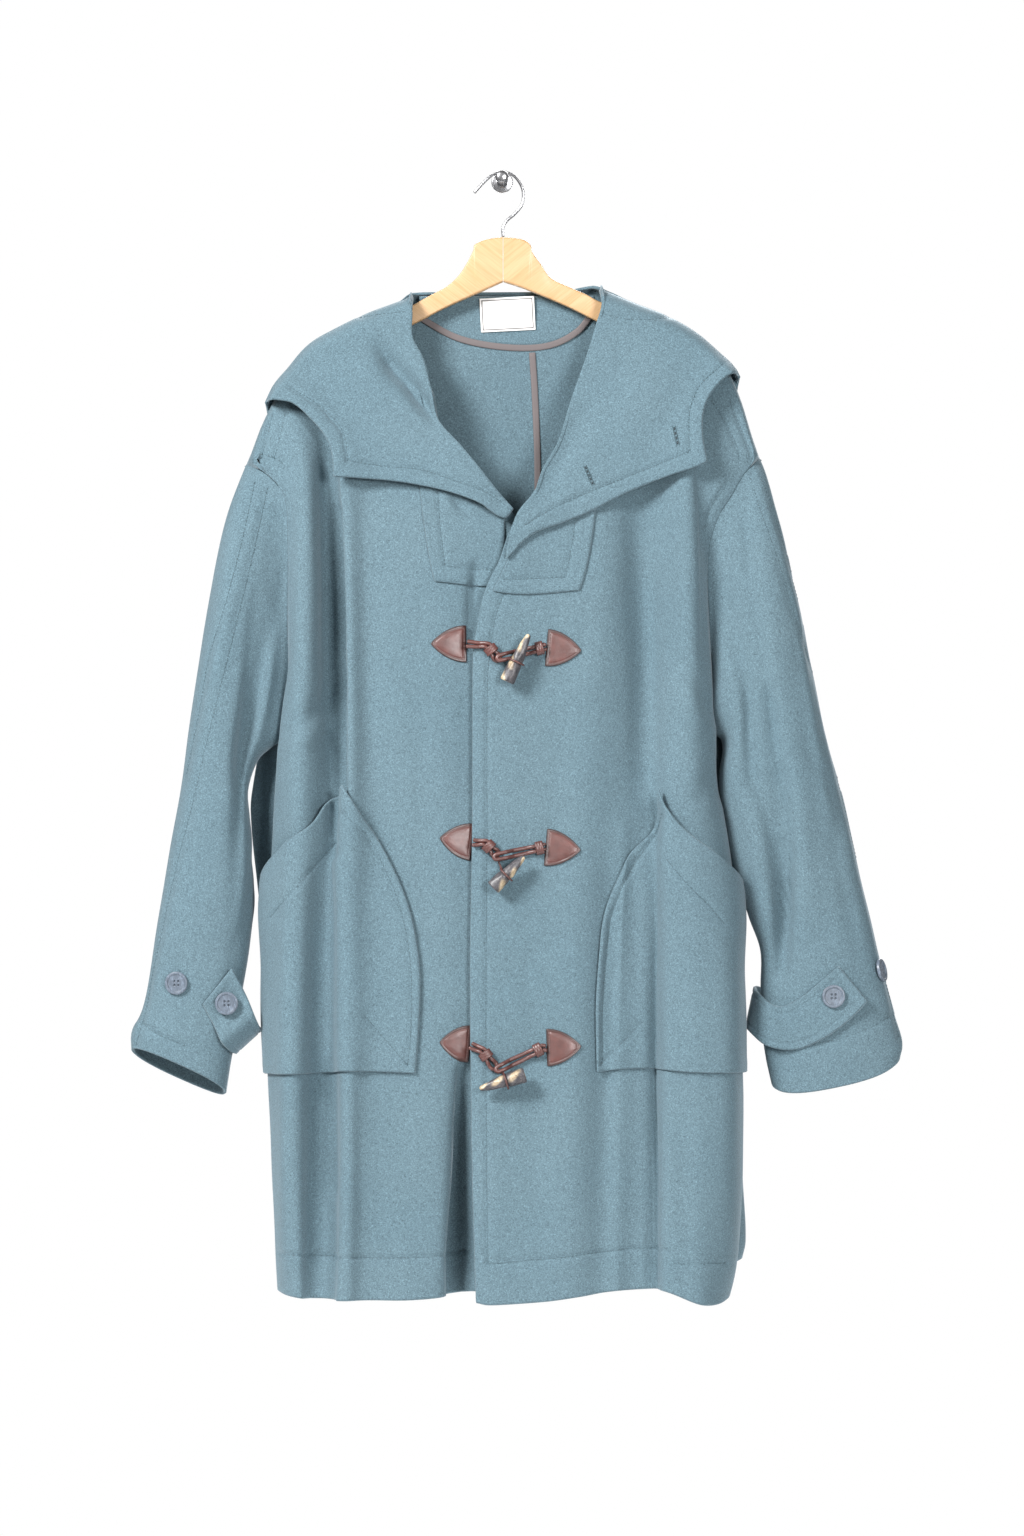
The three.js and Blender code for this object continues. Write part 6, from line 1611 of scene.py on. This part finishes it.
half_x, half_z = LABEL_HALF
x, z = np.meshgrid(steps(-half_x, half_x, 88), steps(half_z, -half_z, 54))
turned_x = LABEL_CENTRE[0] + x * math.cos(LABEL_TILT) - z * math.sin(LABEL_TILT)
turned_z = LABEL_CENTRE[1] + z * math.cos(LABEL_TILT) + x * math.sin(LABEL_TILT)
bow = 0.25 * np.sin(x / 9) * np.sin(z / 13 + 0.6)
outer = np.stack([turned_x, tape_face - LABEL_THICK - bow * 0.6, turned_z], -1)
inner = np.stack([turned_x, tape_face + 0 * x, turned_z], -1)
label_piece = wall("label", outer, inner, label, "label", lip=0.1)
from_edge = np.minimum(half_x - np.abs(x), half_z - np.abs(z))
paint(label_piece, "edge", (np.abs(from_edge - LABEL_BORDER) < 0.45).astype(float).ravel())


# Hanger and hooks

def hanger_arm(name, top, foot, material, stands_for=()):
    """Half of the hanger, between the curves of its top and its foot, with rounded edges."""
    s = steps(0, 1, 130)
    upper, lower = path(top)(s), path(foot)(s)
    height = np.linalg.norm(upper - lower, axis=1)
    down = (lower - upper) / height[:, None]
    half, round_by = HANGER_THICK / 2, 2.6
    corner = [(round_by * (1 - math.sin(a)), half - round_by * (1 - math.cos(a)))
              for a in steps(0, math.pi / 2, 6)]
    edge = corner[::-1]
    section = [(0, inset, -y) for inset, y in corner] + [(0, inset, y) for inset, y in edge]
    section += [(1, -inset, y) for inset, y in corner] + [(1, -inset, -y) for inset, y in edge]
    rings = []
    for far, inset, y in section:
        place = upper + down * (far * height + inset)[:, None]
        rings.append(np.stack([place[:, 0], HANGER_Y + y + 0 * s, place[:, 1]], -1))
    points = np.stack(rings, 1).reshape(-1, 3)
    piece = build(name, points, closed_rings(len(s), len(section)), material, "pine", stands_for)
    piece.data.set_sharp_from_angle(angle=math.radians(40))
    return piece


MITRE_LEFT, MITRE_RIGHT = 0.75, 1.25
hanger_arm("hanger_arm_left", HANGER_TOP + HANGER_CROWN[:2] + [[MITRE_LEFT, -60]],
           HANGER_FOOT[:8:-1] + [[-22.5, -116], [MITRE_LEFT, -105.5]], pine_left, ["hanger"])
hanger_arm("hanger_arm_right", HANGER_TOP_RIGHT[::-1] + HANGER_CROWN[:2:-1] + [[MITRE_RIGHT, -60]],
           HANGER_FOOT[:7] + [[MITRE_RIGHT, -105.3]], pine_right)

hook = path(HOOK_ROUTE)(steps(0, 1, 120))
hook = np.stack([hook[:, 0], HANGER_Y + 0 * hook[:, 0], hook[:, 1]], -1)
tube("hanger_hook", hook, HOOK_DIAMETER / 2, steel, "steel", 16)
plate = [[0.02, 0], [10.6, 0], [11, 0.5], [11, 1.6], [10.6, 2.3], [9.8, 2.5], [6.2, 2.6], [5.2, 3.0],
[4.5, 4.2],
         [4.2, 6], [4.2, 36], [4.2, 52], [4.9, 52.6], [6.0, 53.6], [6.6, 55], [6.8, 57], [6.3, 59],
         [5.2, 60.2],
         [3.2, 60.9], [0.02, 61]]
lathe("wall_hook", plate, [0, 0, 0], FORWARD, steel, "steel", 48, ["wall_hook"])


# Threads

# Rings of one stitch: share of its length, height over the cloth, width.
STITCH_RINGS = ((0, -0.3, 0.55), (0.2, 0.05, 0.95), (0.5, 0.16, 1), (0.8, 0.05, 0.95), (1, -0.3, 0.55))
STITCH_SPOTS = (0.12, 0.5, 0.88)
STITCH_SIDES, STITCH_PITCH, STITCH_WIDTH, STITCH_LIFT, STITCH_JUMP = 6, 3.9, 0.62, 0.05, 4


def sew(name, tree, lines, material, slot="wool", pitch=STITCH_PITCH, width=STITCH_WIDTH):
    """Separate stitches along lines of [x, z] points, laid on a piece from the front."""
    points, faces = [], []
    for line in lines:
        p = np.asarray(line, float)
        total = np.linalg.norm(np.diff(p, axis=0), axis=1).sum()
        count = max(1, int(total / pitch))
        route = path(p) if len(p) > 2 else (lambda t, p=p: mix(p[0], p[1], np.asarray(t)[..., None]))
        for k in range(count):
            spots = [hit_from_front(tree, *route(np.array((k + share) / count)))
                     for share in STITCH_SPOTS]
            if any(place is None for place, _ in spots):
                continue
            a, n, b = spots[0][0], spots[1][1], spots[2][0]
            if abs(a[1] - b[1]) > STITCH_JUMP:
                continue
            side = unit(np.cross(unit(b - a), n))
            base = len(points)
            for share, high, wide in STITCH_RINGS:
                centre = mix(a, b, share) + n * (high + STITCH_LIFT)
                for angle in circle(STITCH_SIDES):
                    away = side * math.cos(angle) + n * math.sin(angle)
                    points.append(centre + away * wide * width / 2)
            faces += [tuple(base + i for i in f) for f in closed_rings(len(STITCH_RINGS), STITCH_SIDES)]
    return build(name, points, faces, material, slot)


lapel_trees = {name: surface(piece) for name, piece in lapel_pieces.items()}
for place, tree, lines in (
        ("front_left", surface(fronts["front_left"]), LEFT_HEM_STITCH),
        ("front_right", surface(fronts["front_right"]), RIGHT_HEM_STITCH + [FRONT_EDGE_STITCH]),
        ("pocket_left", surface(pocket_left), POCKET_LEFT_STITCH),
        ("pocket_right", surface(pocket_right), POCKET_RIGHT_STITCH),
        ("chest_left", surface(chest_left), CHEST_LEFT_STITCH),
        ("chest_right", surface(chest_right), CHEST_RIGHT_STITCH),
        ("hood_left", lapel_trees["hood_front_left"], HOOD_LEFT_STITCH),
        ("hood_right", lapel_trees["hood_front_right"], HOOD_RIGHT_STITCH)):
    sew("stitches_" + place, tree, lines, thread)
for name, piece, edge, tip in patch_pieces:
    along = unit(tip - edge)
    across = np.array([-along[1], along[0]]) * 14.5
    inset = edge + along * 2.0
    sew("stitches_" + name, surface(piece), [[inset - across, inset + across]], brown_thread, "leather",
        2.6, 0.6)
slits, bars = [], []
for a, b in np.array(BUTTONHOLES, float):
    along = unit(b - a)
    across = np.array([-along[1], along[0]])
    slits.append([a, b])
    for s in steps(0, 1, 26):
        for way in (-1, 1):
            p = mix(a, b, s) + across * 0.35 * way
            bars.append([p, p + across * 1.9 * way])
# The slits get near-black strands: painted shade where the buttonholes open.
sew("buttonhole_slits", lapel_trees["hood_front_right"], slits, painted_slit_shade, "wool", 4, 1.1)
sew("buttonhole_bars", lapel_trees["hood_front_right"], bars, thread, "wool", 1.9)
sew("stitches_sleeve_left", sleeve_trees["sleeve_left"], LEFT_SLEEVE_STITCH, thread)
sew("stitches_sleeve_right", sleeve_trees["sleeve_right"], RIGHT_SLEEVE_STITCH, thread)


# Stage, light and camera

for name, place, size, power in LIGHTS:
    light = bpy.data.lights.new(name, "AREA")
    light.shape = "RECTANGLE"
    light.size = light.size_y = size
    light.energy = power
    lamp = bpy.data.objects.new(name, light)
    bpy.context.scene.collection.objects.link(lamp)
    lamp.location = place
    lamp.rotation_euler = (Vector(MIDDLE) - Vector(place)).to_track_quat("-Z", "Y").to_euler()

# The world lights the coat in grey, and is seen behind it as white.
world = bpy.data.worlds.new("studio")
bpy.context.scene.world = world
world.use_nodes = True
tree = world.node_tree
background = fill(tree, tree.nodes["Background"], {"Color": (WORLD_LIGHT, WORLD_LIGHT, WORLD_LIGHT)})
backdrop = fill(tree, tree.nodes.new("ShaderNodeBackground"), {"Color": (1, 1, 1)})
seen = tree.nodes.new("ShaderNodeLightPath")
chosen = fill(tree, tree.nodes.new("ShaderNodeMixShader"), {
    0: seen.outputs["Is Camera Ray"], 1: background.outputs[0], 2: backdrop.outputs[0]})
fill(tree, tree.nodes["World Output"], {"Surface": chosen.outputs[0]})

floor_mesh = bpy.data.meshes.new("floor")
corners = [(x * FLOOR_HALF, y * FLOOR_HALF, FLOOR_Z) for x, y in ((-1, -1), (1, -1), (1, 1), (-1, 1))]
floor_mesh.from_pydata(corners, [], [(0, 1, 2, 3)])
floor_mesh.materials.append(pale)
floor = bpy.data.objects.new("floor", floor_mesh)
bpy.context.scene.collection.objects.link(floor)

camera_data = bpy.data.cameras.new("camera")
camera = bpy.data.objects.new("camera", camera_data)
bpy.context.scene.collection.objects.link(camera)
bpy.context.scene.camera = camera
camera.location = Vector(CAMERA_AIM) + CAMERA_DISTANCE * Vector((0, -1, 0))
camera.rotation_euler = (math.pi / 2, 0, 0)
camera_data.sensor_width = SENSOR
camera_data.lens = SENSOR * CAMERA_DISTANCE / FRAME_HEIGHT
camera_data.clip_end = 50

bpy.context.scene.view_settings.view_transform = "Standard"
